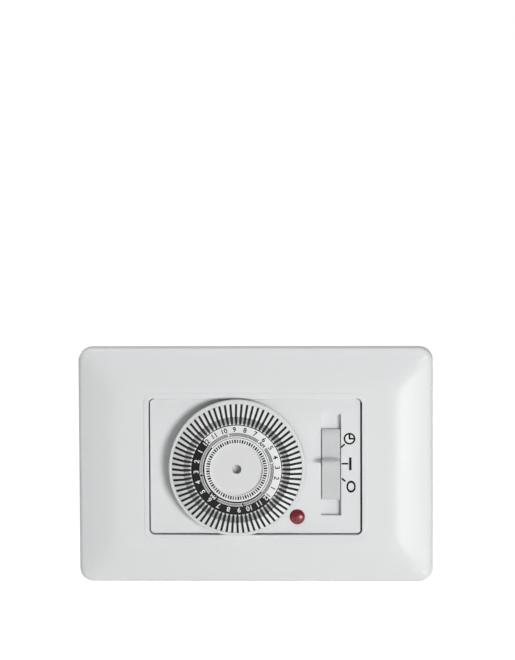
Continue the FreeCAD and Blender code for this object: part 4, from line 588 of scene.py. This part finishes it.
def metal(name, tone, rough, lines=1.0, rings=0.0):
    """Plated, rolled or turned metal."""
    tree, body, place = shader(name)
    sheet = use_group(tree, "rolled_sheet", place, Colour=tone, Roughness=rough, Lines=lines)
    height = sheet["Height"]
    if rings:
        marks = use_group(tree, "turning_marks", place, Centre=(DIAL_X, 0, 0), Pitch=rings)
        height = calculated(tree, "ADD", height, marks["Height"])
    wired(tree, body, {
        "Base Color": sheet["Colour"],
        "Roughness": sheet["Roughness"],
        "Metallic": 1.0,
        "Normal": bumped(tree, height, 0.3, 0.00001),
    })


class SWITCH_OT_finishes(Operator):
    """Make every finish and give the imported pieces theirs"""

    bl_idname = "switch.finishes"
    bl_label = "Finishes"

    def execute(self, context):
        tones, _, _ = settings(context)
        for plain in list(bpy.data.materials):
            bpy.data.materials.remove(plain)
        make_moulded_skin()
        make_settled_dust()
        make_rolled_sheet()
        make_turning_marks()
        # Painted shade: the hub's hole is darkened where its walls and floor lie in shadow
        hub_hole_shade = (-0.001, 1.5 * MM, 0.85)
        # Painted shade: the tabs' inner parts are darkened where they sit lower, in shadow
        tab_neck_shade = (16.2 * MM, 17.9 * MM, 0.6)
        # Painted light: the dark drum is lightened to grey in a ring about the print, where its inner wall
        # catches the light
        drum_collar_light = (15.35 * MM, 17.85 * MM, 1.9)
        plastics = (
            ("plate_white", tones.plate, 0.36, dict(depth=0.000012, drift=0.05, smear=0.05, gloss=0.25)),
            ("bezel_white", tones.bezel, 0.4, dict(depth=0.000012, drift=0.04, smear=0.06, gloss=0.25)),
            ("slider_grey", tones.slider, 0.5, dict(grain=3400.0, depth=0.00003)),
            ("dial_white", tones.dial, 0.38,
             dict(drift=0.05, rings=2500.0, dust=0.05, painted_shading_ring=hub_hole_shade, gloss=0.3)),
            ("dial_print", tones.print_white, 0.42, dict(drift=0.04, gloss=0.3)),
            ("dial_night", tones.print_black, 0.5, dict(drift=0.2, dust=0.02, gloss=0.2)),
            ("drum_black", tones.drum, 0.55, dict(drift=0.2, dust=0.1, painted_shading_ring=drum_collar_light, gloss=0.2)),
            ("tab_white", tones.tab, 0.36,
             dict(grain=3600.0, drift=0.08, dust=0.08, painted_shading_ring=tab_neck_shade, gloss=0.3)),
            ("case_grey", tones.case, 0.55, dict(grain=1800.0, depth=0.00004, drift=0.12, dust=0.1)),
            ("gear_white", tones.gear, 0.4, dict(drift=0.12)),
            ("rotor_dark", tones.rotor, 0.5, dict(grain=5000.0, drift=0.2)),
            ("coil_brown", tones.coil, 0.35, dict(drift=0.3, rings=9000.0)),
            ("ink", tones.ink, 0.5, dict(grain=5000.0, drift=0.2, gloss=0.2)),
            ("ink_white", tones.print_white, 0.5, dict(grain=5000.0, drift=0.1)),
            ("ink_grey", tones.hatching, 0.5, dict(grain=5000.0, drift=0.2)),
            ("lens_red", tones.lens, 0.26,
             dict(grain=1200.0, depth=0.00003, drift=0.5, smear=0.05, coat=0.05)),
            ("lamp_glass", tones.glass, 0.05, dict(drift=0.2, clear=0.85)),
        )
        for name, tone, rough, more in plastics:
            moulded(name, tuple(tone), rough, tuple(tones.dust), **more)
        metal("zinc_steel", tuple(tones.zinc), 0.38)
        metal("movement_steel", tuple(tones.movement), 0.34)
        metal("turned_steel", tuple(tones.turned), 0.25, lines=0.2, rings=7000.0)
        metal("brass", tuple(tones.brass), 0.3, lines=0.5)
        for name, node in frame["nodes"].items():
            node.data.materials.clear()
            node.data.materials.append(bpy.data.materials[SLOT_OF[name]])
        return {"FINISHED"}


# The dial


class SWITCH_OT_printed_ring(Operator):
    """The printed ring of the dial: a white half for the day and a black half for the night"""

    bl_idname = "switch.printed_ring"
    bl_label = "Printed ring"

    def execute(self, context):
        _, sizes, _ = settings(context)
        outer = (FACE_HIGH.x - FACE_LOW.x) / 2
        inner = sizes.tick_inner - 0.3 * MM
        back = -FACE_HIGH.y
        edge, chamfer = sizes.print_edge, 0.1 * MM
        edge_steps = 3
        rings = [(inner, back), (outer, back), (outer, FACE_RISE - edge)]
        for k in range(1, edge_steps + 1):
            turn = math.pi / 2 * k / edge_steps
            rings.append((outer - edge + edge * math.cos(turn), FACE_RISE - edge + edge * math.sin(turn)))
        rings += [
            (sizes.ring_radius, FACE_RISE),
            (inner + chamfer, FACE_RISE),
            (inner, FACE_RISE - chamfer),
            (inner, back),
        ]
        ring = turned("printed_ring", rings, DIAL_X, 0.0, sides=240)
        dressed(ring, "dial_print", "dial")
        ring.data.materials.append(bpy.data.materials["dial_night"])
        for face in ring.data.polygons:
            spot = face.center
            turn = math.degrees(math.atan2(spot.z, spot.x - DIAL_X))
            away = math.hypot(spot.x - DIAL_X, spot.z)
            white = away < sizes.ring_radius or (by_day(turn) and away < outer - edge)
            face.material_index = 0 if white else 1
        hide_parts("dial_face")
        return {"FINISHED"}


def arc_line(name, radius, width, start, end, height):
    """A thin printed line along an arc of the dial: a short cross-section, spun about the axis."""
    calm()
    x, z = at_clock(radius, start)
    bpy.ops.mesh.primitive_plane_add(
        size=1, location=(x, -FACE_RISE - height / 2, z), rotation=(0, -math.radians(start), 0)
    )
    bpy.context.object.scale = (width, height, 1)
    piece = settle(name)
    steps = max(4, int(abs(end - start) / 3))
    sweep = math.radians(end - start)
    bpy.ops.mesh.spin(steps=steps, angle=-sweep, center=(DIAL_X, 0, 0), axis=(0, -1, 0))
    return close_up(piece, 30)


class SWITCH_OT_dial_ticks(Operator):
    """The ticks round the hub, a wide one for each hour and two thin ones after it"""

    bl_idname = "switch.dial_ticks"
    bl_label = "Ticks"

    def execute(self, context):
        _, sizes, _ = settings(context)
        widths = (sizes.tick_wide, sizes.tick_thin, sizes.tick_thin)
        reach = sizes.tick_outer - sizes.tick_inner
        middle = (sizes.tick_outer + sizes.tick_inner) / 2
        top = FACE_RISE + sizes.ink_height
        groups = []
        for k, width in enumerate(widths):
            degrees = MIDNIGHT + 360 / sizes.tick_count * k
            x, z = at_clock(middle, degrees)
            tick = slab(f"tick_{k}", reach, width, x, z, FACE_RISE, top, math.radians(degrees))
            groups.append(repeated(tick, sizes.tick_count // len(widths)))
        dressed(joined("dial_ticks", groups), "ink", "dial")
        return {"FINISHED"}


class SWITCH_OT_figures(Operator):
    """The figures of the hours with their tops outwards, and the letters of the two halves"""

    bl_idname = "switch.figures"
    bl_label = "Figures"

    def execute(self, context):
        _, sizes, _ = settings(context)
        dark, light = [], []

        def put(text, radius, degrees, size, group):
            x, z = at_clock(radius, degrees)
            turn = math.radians(degrees - 90)
            words = lettering(f"figure_{len(dark) + len(light)}", text, size, x, FACE_RISE, z, turn,
                              sizes.ink_height, bolder=sizes.bolder)
            group.append(words)

        gap = math.degrees(sizes.figure_gap / sizes.figure_radius)
        for half, group in ((0, dark), (180, light)):
            for hour in range(1, 12):
                degrees = MIDNIGHT + half + HOUR * hour
                put(str(hour), sizes.figure_radius, degrees, sizes.figure_size, group)
        for half, first, second in ((0, dark, light), (180, light, dark)):
            put("1", sizes.figure_radius, MIDNIGHT + half + gap, sizes.figure_size, first)
            put("2", sizes.figure_radius, MIDNIGHT + half - gap, sizes.figure_size, second)
        band = (sizes.band_inner + sizes.band_outer) / 2
        put("AM", band, AM_PLACE, sizes.letter_size, dark)
        put("PM", band, PM_PLACE, sizes.letter_size, light)
        dressed(joined("dark_figures", dark), "ink", "dial")
        dressed(joined("light_figures", light), "ink_white", "dial")
        return {"FINISHED"}


class SWITCH_OT_arrows(Operator):
    """The thin ring outside the ticks and the four arrows that show which way the dial turns"""

    bl_idname = "switch.arrows"
    bl_label = "Arrows and ring"

    def execute(self, context):
        _, sizes, _ = settings(context)
        tall, line = sizes.ink_height, sizes.ring_line
        top = FACE_RISE + tall
        inner, outer = sizes.band_inner, sizes.band_outer
        middle, band = (inner + outer) / 2, outer - inner
        arrows = ((12, 102), (104, 188), (190, 279), (281, 370))
        head_room, letter_room = 2, 8
        hatch_end, hatch_step, hatch_lean = 1, 1.9, 35
        head_back, head_side, head_lean = 1.2, 0.36 * band, 50
        dark = [arc_line("ring_day", sizes.ring_radius, line, MIDNIGHT, MIDNIGHT + 180, tall)]
        light, grey = [], []
        for tail, head in arrows:
            spans = [(tail, head - head_room)]
            for letter in (AM_PLACE, PM_PLACE):
                low, high = spans[-1]
                if low < letter < high:
                    spans[-1:] = [(low, letter - letter_room), (letter + letter_room, high)]
            for low, high in spans:
                for radius in (inner, outer):
                    cuts = [low, high]
                    for border in (MIDNIGHT + 180, MIDNIGHT + 360):
                        if low < border < high:
                            cuts.insert(1, border)
                    for start, end in zip(cuts, cuts[1:]):
                        group = dark if by_day((start + end) / 2) else light
                        group.append(arc_line("arrow_line", radius, line, start, end, tall))
                hatch = low + hatch_end
                while hatch < high - hatch_end:
                    x, z = at_clock(middle, hatch)
                    turn = math.radians(hatch + hatch_lean)
                    group, width = (grey, line * 1.5) if by_day(hatch) else (light, line * 0.7)
                    group.append(slab("hatch", band, width, x, z, FACE_RISE, top, turn))
                    hatch += hatch_step
            group = dark if by_day(head) else light
            for side in (-1, 1):
                x, z = at_clock(middle + side * head_side, head - head_back)
                turn = math.radians(head + 90 - side * head_lean)
                group.append(slab("arrow_head", band * 1.05, line * 1.5, x, z, FACE_RISE, top, turn))
        dressed(joined("dark_arrows", dark), "ink", "dial")
        dressed(joined("light_arrows", light), "ink_white", "dial")
        dressed(joined("arrow_hatching", grey), "ink_grey", "dial")
        return {"FINISHED"}


class SWITCH_OT_comb_fins(Operator):
    """The dark fins of the drum that stand between the heads of the tabs"""

    bl_idname = "switch.comb_fins"
    bl_label = "Comb fins"

    def execute(self, context):
        _, sizes, _ = settings(context)
        foot, crest, fall = sizes.fin_foot, sizes.fin_crest, sizes.fin_fall
        middle = (sizes.fin_inner + sizes.fin_outer) / 2
        half_height = (foot + crest) / 2
        about = 0.1 * MM
        reach = sizes.fin_outer - sizes.fin_inner
        fin = slab("comb_fins", reach, sizes.fin_wide, DIAL_X + middle, 0, foot, crest)
        bpy.ops.object.mode_set(mode="EDIT")
        select_spots(fin, lambda spot: spot.x - DIAL_X > middle and spot.y < -half_height)
        bpy.ops.transform.translate(value=(0, fall, 0))
        select_spots(fin, lambda spot: abs(spot.y + crest - fall / 2) < about, "FACE")
        raised(sizes.fin_step)
        resized(1, sizes.fin_cap / sizes.fin_wide, DIAL_X + middle, 0)
        raised(sizes.fin_step)
        half_step = 180 / sizes.tick_count
        swung(MIDNIGHT + half_step)
        dressed(repeated(fin, sizes.tick_count), "drum_black", "dial")
        return {"FINISHED"}


class SWITCH_OT_comb_teeth(Operator):
    """The light teeth on the drum round the printed ring, one at the inner end of each tab"""

    bl_idname = "switch.comb_teeth"
    bl_label = "Comb teeth"

    def execute(self, context):
        _, sizes, _ = settings(context)
        middle = (sizes.tooth_inner + sizes.tooth_outer) / 2
        reach = sizes.tooth_outer - sizes.tooth_inner
        foot, top = sizes.tooth_foot, sizes.tooth_top
        tooth = slab("comb_teeth", reach, sizes.tooth_wide, DIAL_X + middle, 0, foot, top)
        swung(MIDNIGHT)
        dressed(repeated(tooth, sizes.tick_count), "tab_white", "dial")
        return {"FINISHED"}


# The face


class SWITCH_OT_plate_skin(Operator):
    """The cover plate's smooth outer skin: its rounded edge, its slopes and their soft turn into the flat"""

    bl_idname = "switch.plate_skin"
    bl_label = "Plate skin"

    def execute(self, context):
        _, sizes, _ = settings(context)
        _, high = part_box("cover_plate")
        half_wide, half_high = high.x + sizes.skin, high.z + sizes.skin
        flat, rim = sizes.plate_flat + sizes.skin, sizes.plate_rim + sizes.skin
        drop, edge, side = sizes.slope_turn_drop, sizes.plate_round, sizes.slope_side
        foot = 0.1 * MM
        edge_steps, turn_steps = 5, 8
        start = side - sizes.slope_turn
        steep = (flat - drop - rim) / start
        lean = math.atan(steep)
        steps = [(0.0, foot), (0.0, rim - edge)]
        for k in range(1, edge_steps + 1):
            turn = (math.pi / 2 - lean) * k / edge_steps
            rise = rim - edge + (edge + steep * edge) * math.sin(turn)
            steps.append((edge * (1 - math.cos(turn)), rise))
        steps.append((start, flat - drop))
        for k in range(1, turn_steps + 1):
            part = k / turn_steps
            steps.append((start + sizes.slope_turn * part, flat - drop * (1 - part) ** 2))
        share = sizes.slope_end / side
        rings = [(half_wide - inset, half_high - inset * share, rise) for inset, rise in steps]
        rings.append((sizes.skin_wide, sizes.skin_high, flat))
        calm()
        bpy.ops.mesh.primitive_plane_add(size=1, location=(0, -foot, 0), rotation=(math.pi / 2, 0, 0))
        bpy.context.object.scale = (half_wide * 2, half_high * 2, 1)
        skin = settle("plate_skin")
        bpy.ops.mesh.bevel(offset=sizes.plate_corner, segments=10, affect="VERTICES")
        bpy.ops.mesh.delete(type="ONLY_FACE")
        bpy.ops.mesh.select_all(action="SELECT")
        draw_out(rings, 0, 0)
        close_up(skin, 60)
        dressed(skin, "plate_white", "housing")
        return {"FINISHED"}


class SWITCH_OT_bezel_lip(Operator):
    """A thin lip along the bezel's upper edge that closes the gap to the window"""

    bl_idname = "switch.bezel_lip"
    bl_label = "Bezel lip"

    def execute(self, context):
        _, sizes, _ = settings(context)
        back, front = BEZEL_RISE - 1.2 * MM, BEZEL_RISE - 0.02 * MM
        soft = 0.04 * MM
        lip = slab("bezel_lip", sizes.lip_long, sizes.lip_thick, 0, sizes.lip_place, back, front, bevel=soft)
        dressed(lip, "bezel_white", "housing")
        return {"FINISHED"}


class SWITCH_OT_window_seams(Operator):
    """Dark ink strips in the gaps between the bezel's ends and the plate: painted shadow, standing in for the
    shade in those gaps
    """

    bl_idname = "switch.window_seams"
    bl_label = "Window shadow strips"

    def execute(self, context):
        _, sizes, _ = settings(context)
        # In millimetres: place, width, and back and front counted from the bezel's face
        # Painted shadow: these ink strips stand in for the shade that falls into the gaps
        gaps = (("right_seam", 35.78, 0.6, -1.6, 0.02), ("left_seam", -35.86, 0.4, -2.4, -0.2))
        shadow_strips = []
        for name, x, wide, back, front in gaps:
            low, high = BEZEL_RISE + back * MM, BEZEL_RISE + front * MM
            shadow_strips.append(slab(name, wide * MM, sizes.seam_long, x * MM, 0, low, high))
        dressed(joined("window_seams", shadow_strips), "ink", "housing")
        return {"FINISHED"}


class SWITCH_OT_selector_key(Operator):
    """The selector's slider: rounded ends, a grip fin with a swept foot, and the stem to its carriage"""

    bl_idname = "switch.selector_key"
    bl_label = "Selector key"

    def execute(self, context):
        low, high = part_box("selector_slider")
        x, z = (low.x + high.x) / 2, (low.z + high.z) / 2
        reach = (high.z - low.z) / 2
        face = BEZEL_RISE - 0.1 * MM
        back = face - 1.8 * MM
        play, overlap, hair = 0.1 * MM, 0.1 * MM, 0.01 * MM
        fin_z, fin_half, fin_hem = z + 1.3 * MM, 0.95 * MM, 0.35 * MM
        stem_wide, stem_high = 1.8 * MM, 3.6 * MM
        # How far from the key's ends, and how far back, its rounded ends bend
        bends = ((0.0, 0.85), (0.5, 0.45), (1.1, 0.2), (1.9, 0.06), (3.0, 0.0))
        # How far each step of the fin rises, and what it keeps of its width and height
        fin_steps = ((0.4, 1, 0.9), (4.4, 1, 0.86), (0.3, 0.97, 0.78), (0.12, 0.96, 0.6))
        key = slab("selector_key", high.x - low.x - play, reach * 2, x, z, back, face)
        bpy.ops.object.mode_set(mode="EDIT")
        cut([z + side * (reach - inset * MM) for side in (-1, 1) for inset, _ in bends[1:]])
        cut([fin_z + side * (fin_half + more) for side in (-1, 1) for more in (0, fin_hem)])
        for inset, drop in bends:
            spot_z = reach - inset * MM
            select_spots(key, lambda spot: abs(abs(spot.z - z) - spot_z) < hair and -spot.y > face - hair)
            bpy.ops.transform.translate(value=(0, drop * MM, 0))
        select_spots(key, lambda spot: abs(spot.z - fin_z) < fin_half and -spot.y > face - hair, "FACE")
        for rise, across, up in fin_steps:
            raised(rise * MM)
            resized(across, up, x, fin_z - fin_half)
        bpy.ops.mesh.select_mode(type="EDGE")
        bpy.ops.mesh.select_all(action="DESELECT")
        bpy.ops.mesh.edges_select_sharp(sharpness=math.radians(60))
        bpy.ops.mesh.bevel(offset=0.12 * MM, segments=2, affect="EDGES")
        close_up(key, 35)
        stem_back = -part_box("selector_carriage")[0].y
        stem = slab("selector_stem", stem_wide, stem_high, x, z, stem_back, back + overlap)
        key = joined("selector_key", [key, stem])
        dressed(key, "slider_grey", "selector")
        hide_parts("selector_slider")
        return {"FINISHED"}


class SWITCH_OT_position_marks(Operator):
    """The selector's position marks: a clock, a bar and a ring, each with its leader line"""

    bl_idname = "switch.position_marks"
    bl_label = "Position marks"

    def execute(self, context):
        _, sizes, _ = settings(context)
        low, high = BEZEL_RISE, BEZEL_RISE + sizes.ink_height
        line = sizes.mark_line
        half = line / 2
        # In millimetres, right of and above the plate's middle
        rounds = (("clock", 31.85, 9.45, 1.72, 1.0), ("ring", 32.35, -6.95, 1.3, 1.3))
        strokes = (
            ("hour_hand", 31.85, 9.3, 31.85, 10.95, line),
            ("minute_hand", 31.65, 9.45, 33.3, 9.45, line),
            ("clock_leader", 28.95, 6.45, 30.25, 7.6, line),
            ("bar", 32.1, -1.35, 32.1, 3.05, sizes.bar_line),
            ("bar_leader", 29.2, 0.9, 31.4, 0.9, line),
            ("ring_leader", 29.2, -4.1, 30.4, -5.15, line),
        )
        pieces = []
        for name, x, z, radius, tall in rounds:
            inner, outer = radius * MM - half, radius * MM + half
            rings = [(inner, low), (outer, low), (outer, high), (inner, high), (inner, low)]
            pieces.append(turned(name, rings, x * MM, z * MM, sides=64))
            opened()
            resized(1, tall, x * MM, z * MM)
            bpy.ops.object.mode_set(mode="OBJECT")
        for name, x0, z0, x1, z1, width in strokes:
            run = math.hypot(x1 - x0, z1 - z0) * MM
            turn = math.atan2(z1 - z0, x1 - x0)
            x, z = (x0 + x1) / 2 * MM, (z0 + z1) / 2 * MM
            pieces.append(slab(name, run, width, x, z, low, high, turn))
        dressed(joined("position_marks", pieces), "ink", "housing")
        return {"FINISHED"}


class SWITCH_OT_pilot_lens(Operator):
    """The pilot lens: a dome with a flange behind it and steps moulded inside"""

    bl_idname = "switch.pilot_lens"
    bl_label = "Pilot lens"

    def execute(self, context):
        _, sizes, _ = settings(context)
        radius = sizes.lens_radius
        flange = (LENS_HIGH.x - LENS_LOW.x) / 2
        back, top = -LENS_HIGH.y, -LENS_LOW.y
        x, z = (LENS_LOW.x + LENS_HIGH.x) / 2, (LENS_LOW.z + LENS_HIGH.z) / 2
        skin = back + 0.6 * MM
        shoulder = BEZEL_RISE + 0.1 * MM
        dome_steps, bore = 12, 2.0 * MM
        # The steps inside, from the bore's mouth: share of its width, and how far in front of the back
        inner_steps = ((1, 0), (1, 2.0), (0.82, 2.25), (0.492, 2.3), (0.2706, 2.5), (0.1353, 2.55))
        rings = [(bore, back), (flange, back), (flange, skin), (radius, skin), (radius, shoulder)]
        for k in range(1, dome_steps + 1):
            turn = math.pi / 2 * k / dome_steps
            rise = shoulder + (top - shoulder) * math.sin(turn)
            rings.append((max(radius * math.cos(turn), TIP), rise))
        lens = turned("pilot_lens", rings, x, z, sides=72)
        opened()
        mesh = bmesh.from_edit_mesh(lens.data)
        for edge in mesh.edges:
            edge.select_set(edge.is_boundary)
        draw_out([(bore * share, bore * share, back + rise * MM) for share, rise in inner_steps], x, z)
        bpy.ops.mesh.edge_face_add()
        close_up(lens)
        dressed(lens, "lens_red", "housing")
        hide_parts("indicator_lens")
        return {"FINISHED"}


# The switch inside


class SWITCH_OT_plunger_coil(Operator):
    """The coil under the contact bridge"""

    bl_idname = "switch.plunger_coil"
    bl_label = "Plunger coil"

    def execute(self, context):
        _, sizes, _ = settings(context)
        low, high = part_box("plunger_spring")
        x, z = (low.x + high.x) / 2, (low.z + high.z) / 2
        tall = high.y - low.y
        wire = sizes.coil_wire
        radius = (high.x - low.x - wire) / 2
        calm()
        bpy.ops.mesh.primitive_circle_add(
            vertices=10, radius=wire / 2, location=(0, 0, 0), rotation=(math.pi / 2, 0, 0)
        )
        coil = settle("plunger_coil")
        bpy.ops.transform.translate(value=(radius, 0, 0))
        bpy.ops.object.mode_set(mode="OBJECT")
        winding = coil.modifiers.new("winding", "SCREW")
        winding.axis = "Z"
        winding.iterations = sizes.coil_turns
        winding.steps = winding.render_steps = 28
        winding.screw_offset = (tall - wire) / sizes.coil_turns
        bpy.ops.object.modifier_apply(modifier=winding.name)
        bpy.ops.object.mode_set(mode="EDIT")
        mesh = bmesh.from_edit_mesh(coil.data)
        ends = [edge for edge in mesh.edges if edge.is_boundary]
        for group in (ends[:len(ends) // 2], ends[len(ends) // 2:]):
            for edge in mesh.edges:
                edge.select_set(edge in group)
            bpy.ops.mesh.edge_face_add()
        bpy.ops.mesh.select_all(action="SELECT")
        bpy.ops.transform.rotate(value=math.pi / 2, orient_axis="X", center_override=(0, 0, 0))
        bpy.ops.object.mode_set(mode="OBJECT")
        reach = [spot.co.y for spot in coil.data.vertices]
        bpy.ops.object.mode_set(mode="EDIT")
        bpy.ops.transform.translate(value=(x, low.y - min(reach), z))
        close_up(coil)
        dressed(coil, SLOT_OF["plunger_spring"], "housing")
        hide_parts("plunger_spring")
        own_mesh(coil)
        return {"FINISHED"}


# The back


class SWITCH_OT_back_marks(Operator):
    """Raised marks on the back of the case: a letter at each terminal, ribs and the mould's round marks"""

    bl_idname = "switch.back_marks"
    bl_label = "Back marks"

    def execute(self, context):
        back, tall = CASE_RISE, 0.25 * MM
        letter_size, letter_z = 4.0 * MM, 11.2 * MM
        rib_long, rib_thick, rib_edge = 44 * MM, 0.9 * MM, 0.08 * MM
        # In millimetres, right of and above the plate's middle
        letters = (("L", -12), ("N", -2), ("1", 12), ("2", 22))
        rib_places = (-4, -9, -14)
        mark_places = ((-27, -9), (-27, 4), (27, -9), (27, 4))
        # A mould mark's rings: radius, and how far behind the case
        mark_rings = ((1.6, 0), (1.6, 0.12), (1.4, 0.16), (1.2, 0.05))
        signs = []
        for text, x in letters:
            signs.append(lettering(f"terminal_{text}", text, letter_size, x * MM, back, letter_z,
                                   height=tall, from_behind=True))
        dressed(joined("terminal_letters", signs), "case_grey", "housing")
        ribs = []
        for z in rib_places:
            ribs.append(slab("rib", rib_long, rib_thick, 0, z * MM, back, back - tall, bevel=rib_edge))
        dressed(joined("back_ribs", ribs), "case_grey", "housing")
        rings = [(radius * MM, back - behind * MM) for radius, behind in mark_rings]
        rings.append((TIP, rings[-1][1]))
        rounds = [turned("mould_mark", rings, x * MM, z * MM, sides=32) for x, z in mark_places]
        dressed(joined("mould_marks", rounds), "case_grey", "housing")
        return {"FINISHED"}


# The studio


def seen_by(tree, *rays):
    """One for the kinds of ray that are named, and nothing for the others."""
    path = made(tree, "LightPath", {}).outputs
    seen = path[f"Is {rays[0]} Ray"]
    for ray in rays[1:]:
        seen = calculated(tree, "MAXIMUM", seen, path[f"Is {ray} Ray"])
    return seen


def picked(tree, output, factor, first, second):
    """Give the output one surface or the other, by a factor."""
    pick = made(tree, "MixShader", {0: factor, 1: first.outputs[0], 2: second.outputs[0]})
    wired(tree, tree.nodes[output], {"Surface": pick.outputs[0]})


def glow_material(name, tone, to_camera, more_far_out):
    """A pale surface that the camera, gloss and glass see as white, and that keeps its shadows."""
    tree, body, place = shader(name)
    dark = tone * 0.985
    mottle = spread(tree, noise(tree, place, 3.0, 2.0), 0.3, 0.7)
    mottled = mixed(tree, mottle, (tone, tone, tone, 1), (dark, dark, dark, 1))
    wired(tree, body, {"Base Color": mottled, "Roughness": 0.9})
    reach = made(tree, "VectorMath", {0: place}, operation="LENGTH").outputs["Value"]
    more = calculated(tree, "MULTIPLY", spread(tree, reach, 0.6, 1.3), more_far_out)
    level = calculated(tree, "ADD", more, to_camera)
    seen = seen_by(tree, "Camera", "Glossy", "Transmission")
    glow = made(tree, "Emission", {"Strength": calculated(tree, "MULTIPLY", seen, level)})
    both = made(tree, "AddShader", {0: body.outputs[0], 1: glow.outputs[0]})
    behind = made(tree, "NewGeometry", {}).outputs["Backfacing"]
    picked(tree, "Material Output", behind, both, made(tree, "BsdfTransparent", {}))
    return bpy.data.materials[name]


def outward(turn, rise):
    """The way out from the plate's middle, turned right of the front and up from the horizon."""
    return Vector((math.sin(turn) * math.cos(rise), -math.cos(turn) * math.cos(rise), math.sin(rise)))


def light(name, power, size, azimuth, elevation, distance, tone):
    """A soft square light that shines on the plate's middle."""
    out = outward(math.radians(azimuth), math.radians(elevation))
    lamp = bpy.data.lights.new(name, "AREA")
    lamp.shape = "SQUARE"
    lamp.size = size
    lamp.energy = power
    lamp.color = tone
    holder = bpy.data.objects.new(name, lamp)
    bpy.context.scene.collection.objects.link(holder)
    holder.location = out * distance
    holder.rotation_euler = (-out).to_track_quat("-Z", "Y").to_euler()


class SWITCH_OT_studio(Operator):
    """The floor, the white room, the lights and the camera"""

    bl_idname = "switch.studio"
    bl_label = "Studio"

    def execute(self, context):
        _, _, studio = settings(context)
        scene = context.scene
        scene.view_settings.view_transform = "Standard"
        calm()
        bpy.ops.mesh.primitive_plane_add(size=studio.floor_size, location=(0, 0, -studio.floor_drop))
        floor = settle("studio_floor")
        bpy.ops.mesh.subdivide(number_cuts=3)
        bpy.ops.object.mode_set(mode="OBJECT")
        floor.data.materials.append(glow_material("studio_white", 0.86, 0.85, 0.06))

        world = bpy.data.worlds.new("studio_room")
        world.use_nodes = True
        scene.world = world
        tree = world.node_tree
        white = (1, 1, 1, 1)
        room = wired(tree, tree.nodes["Background"], {"Color": white, "Strength": studio.ambient})
        backdrop = made(tree, "Background", {"Color": white, "Strength": 1.0})
        picked(tree, "World Output", seen_by(tree, "Camera", "Transmission"), room, backdrop)

        # Size and distance in metres, azimuth right of the front and elevation in degrees, and tone
        neutral = (1, 1, 1)
        for name, power, size, azimuth, elevation, distance, tone in (
            ("key_light", studio.key_power, 0.4, 28, -10, 1.2, (1.0, 0.998, 0.99)),
            ("fill_light", studio.fill_power, 0.9, -40, 35, 1.4, neutral),
            ("top_light", studio.top_power, 0.8, 0, 88, 1.0, neutral),
            ("rim_light", studio.rim_power, 0.8, -92, 40, 1.0, neutral),
        ):
            light(name, power, size, azimuth, elevation, distance, tone)

        eye = bpy.data.cameras.new("view")
        eye.lens = studio.lens
        eye.sensor_width = 36
        eye.clip_start = 0.05
        eye.clip_end = 50
        camera = bpy.data.objects.new("view", eye)
        scene.collection.objects.link(camera)
        back = outward(studio.azimuth, studio.elevation)
        right = Vector((math.cos(studio.azimuth), math.sin(studio.azimuth), 0))
        up = back.cross(right)
        camera.location = back * studio.distance
        aim = up * studio.aim_up + right * studio.aim_right
        look = (aim - camera.location).to_track_quat("-Z", "Y").to_matrix()
        camera.rotation_euler = (look @ Matrix.Rotation(studio.roll, 3, "Z")).to_euler()
        scene.camera = camera
        return {"FINISHED"}


class SWITCH_PT_panel(Panel):
    """Sizes and colours of the time switch, and the steps that make it"""

    bl_idname = "SWITCH_PT_panel"
    bl_label = "Time switch"
    bl_space_type = "VIEW_3D"
    bl_region_type = "UI"
    bl_category = "Time switch"

    def draw(self, context):
        for group in settings(context):
            box = self.layout.box()
            for name in group.__annotations__:
                box.prop(group, name)
        for step in STEPS:
            self.layout.operator(step.bl_idname)


STEPS = (
    SWITCH_OT_finishes,
    SWITCH_OT_printed_ring,
    SWITCH_OT_dial_ticks,
    SWITCH_OT_figures,
    SWITCH_OT_arrows,
    SWITCH_OT_comb_fins,
    SWITCH_OT_comb_teeth,
    SWITCH_OT_plate_skin,
    SWITCH_OT_bezel_lip,
    SWITCH_OT_window_seams,
    SWITCH_OT_selector_key,
    SWITCH_OT_position_marks,
    SWITCH_OT_pilot_lens,
    SWITCH_OT_plunger_coil,
    SWITCH_OT_back_marks,
    SWITCH_OT_studio,
)
CLASSES = (SwitchColours, SwitchSizes, StudioSettings, *STEPS, SWITCH_PT_panel)


def register():
    for item in CLASSES:
        bpy.utils.register_class(item)
    bpy.types.Scene.switch_colours = PointerProperty(type=SwitchColours)
    bpy.types.Scene.switch_sizes = PointerProperty(type=SwitchSizes)
    bpy.types.Scene.switch_studio = PointerProperty(type=StudioSettings)


def unregister():
    del bpy.types.Scene.switch_studio
    del bpy.types.Scene.switch_sizes
    del bpy.types.Scene.switch_colours
    for item in reversed(CLASSES):
        bpy.utils.unregister_class(item)


def main():
    register()
    for step in STEPS:
        family, name = step.bl_idname.split(".")
        if getattr(getattr(bpy.ops, family), name)() != {"FINISHED"}:
            raise RuntimeError(f"{step.bl_label} did not finish")


if __name__ == "__main__":
    main()
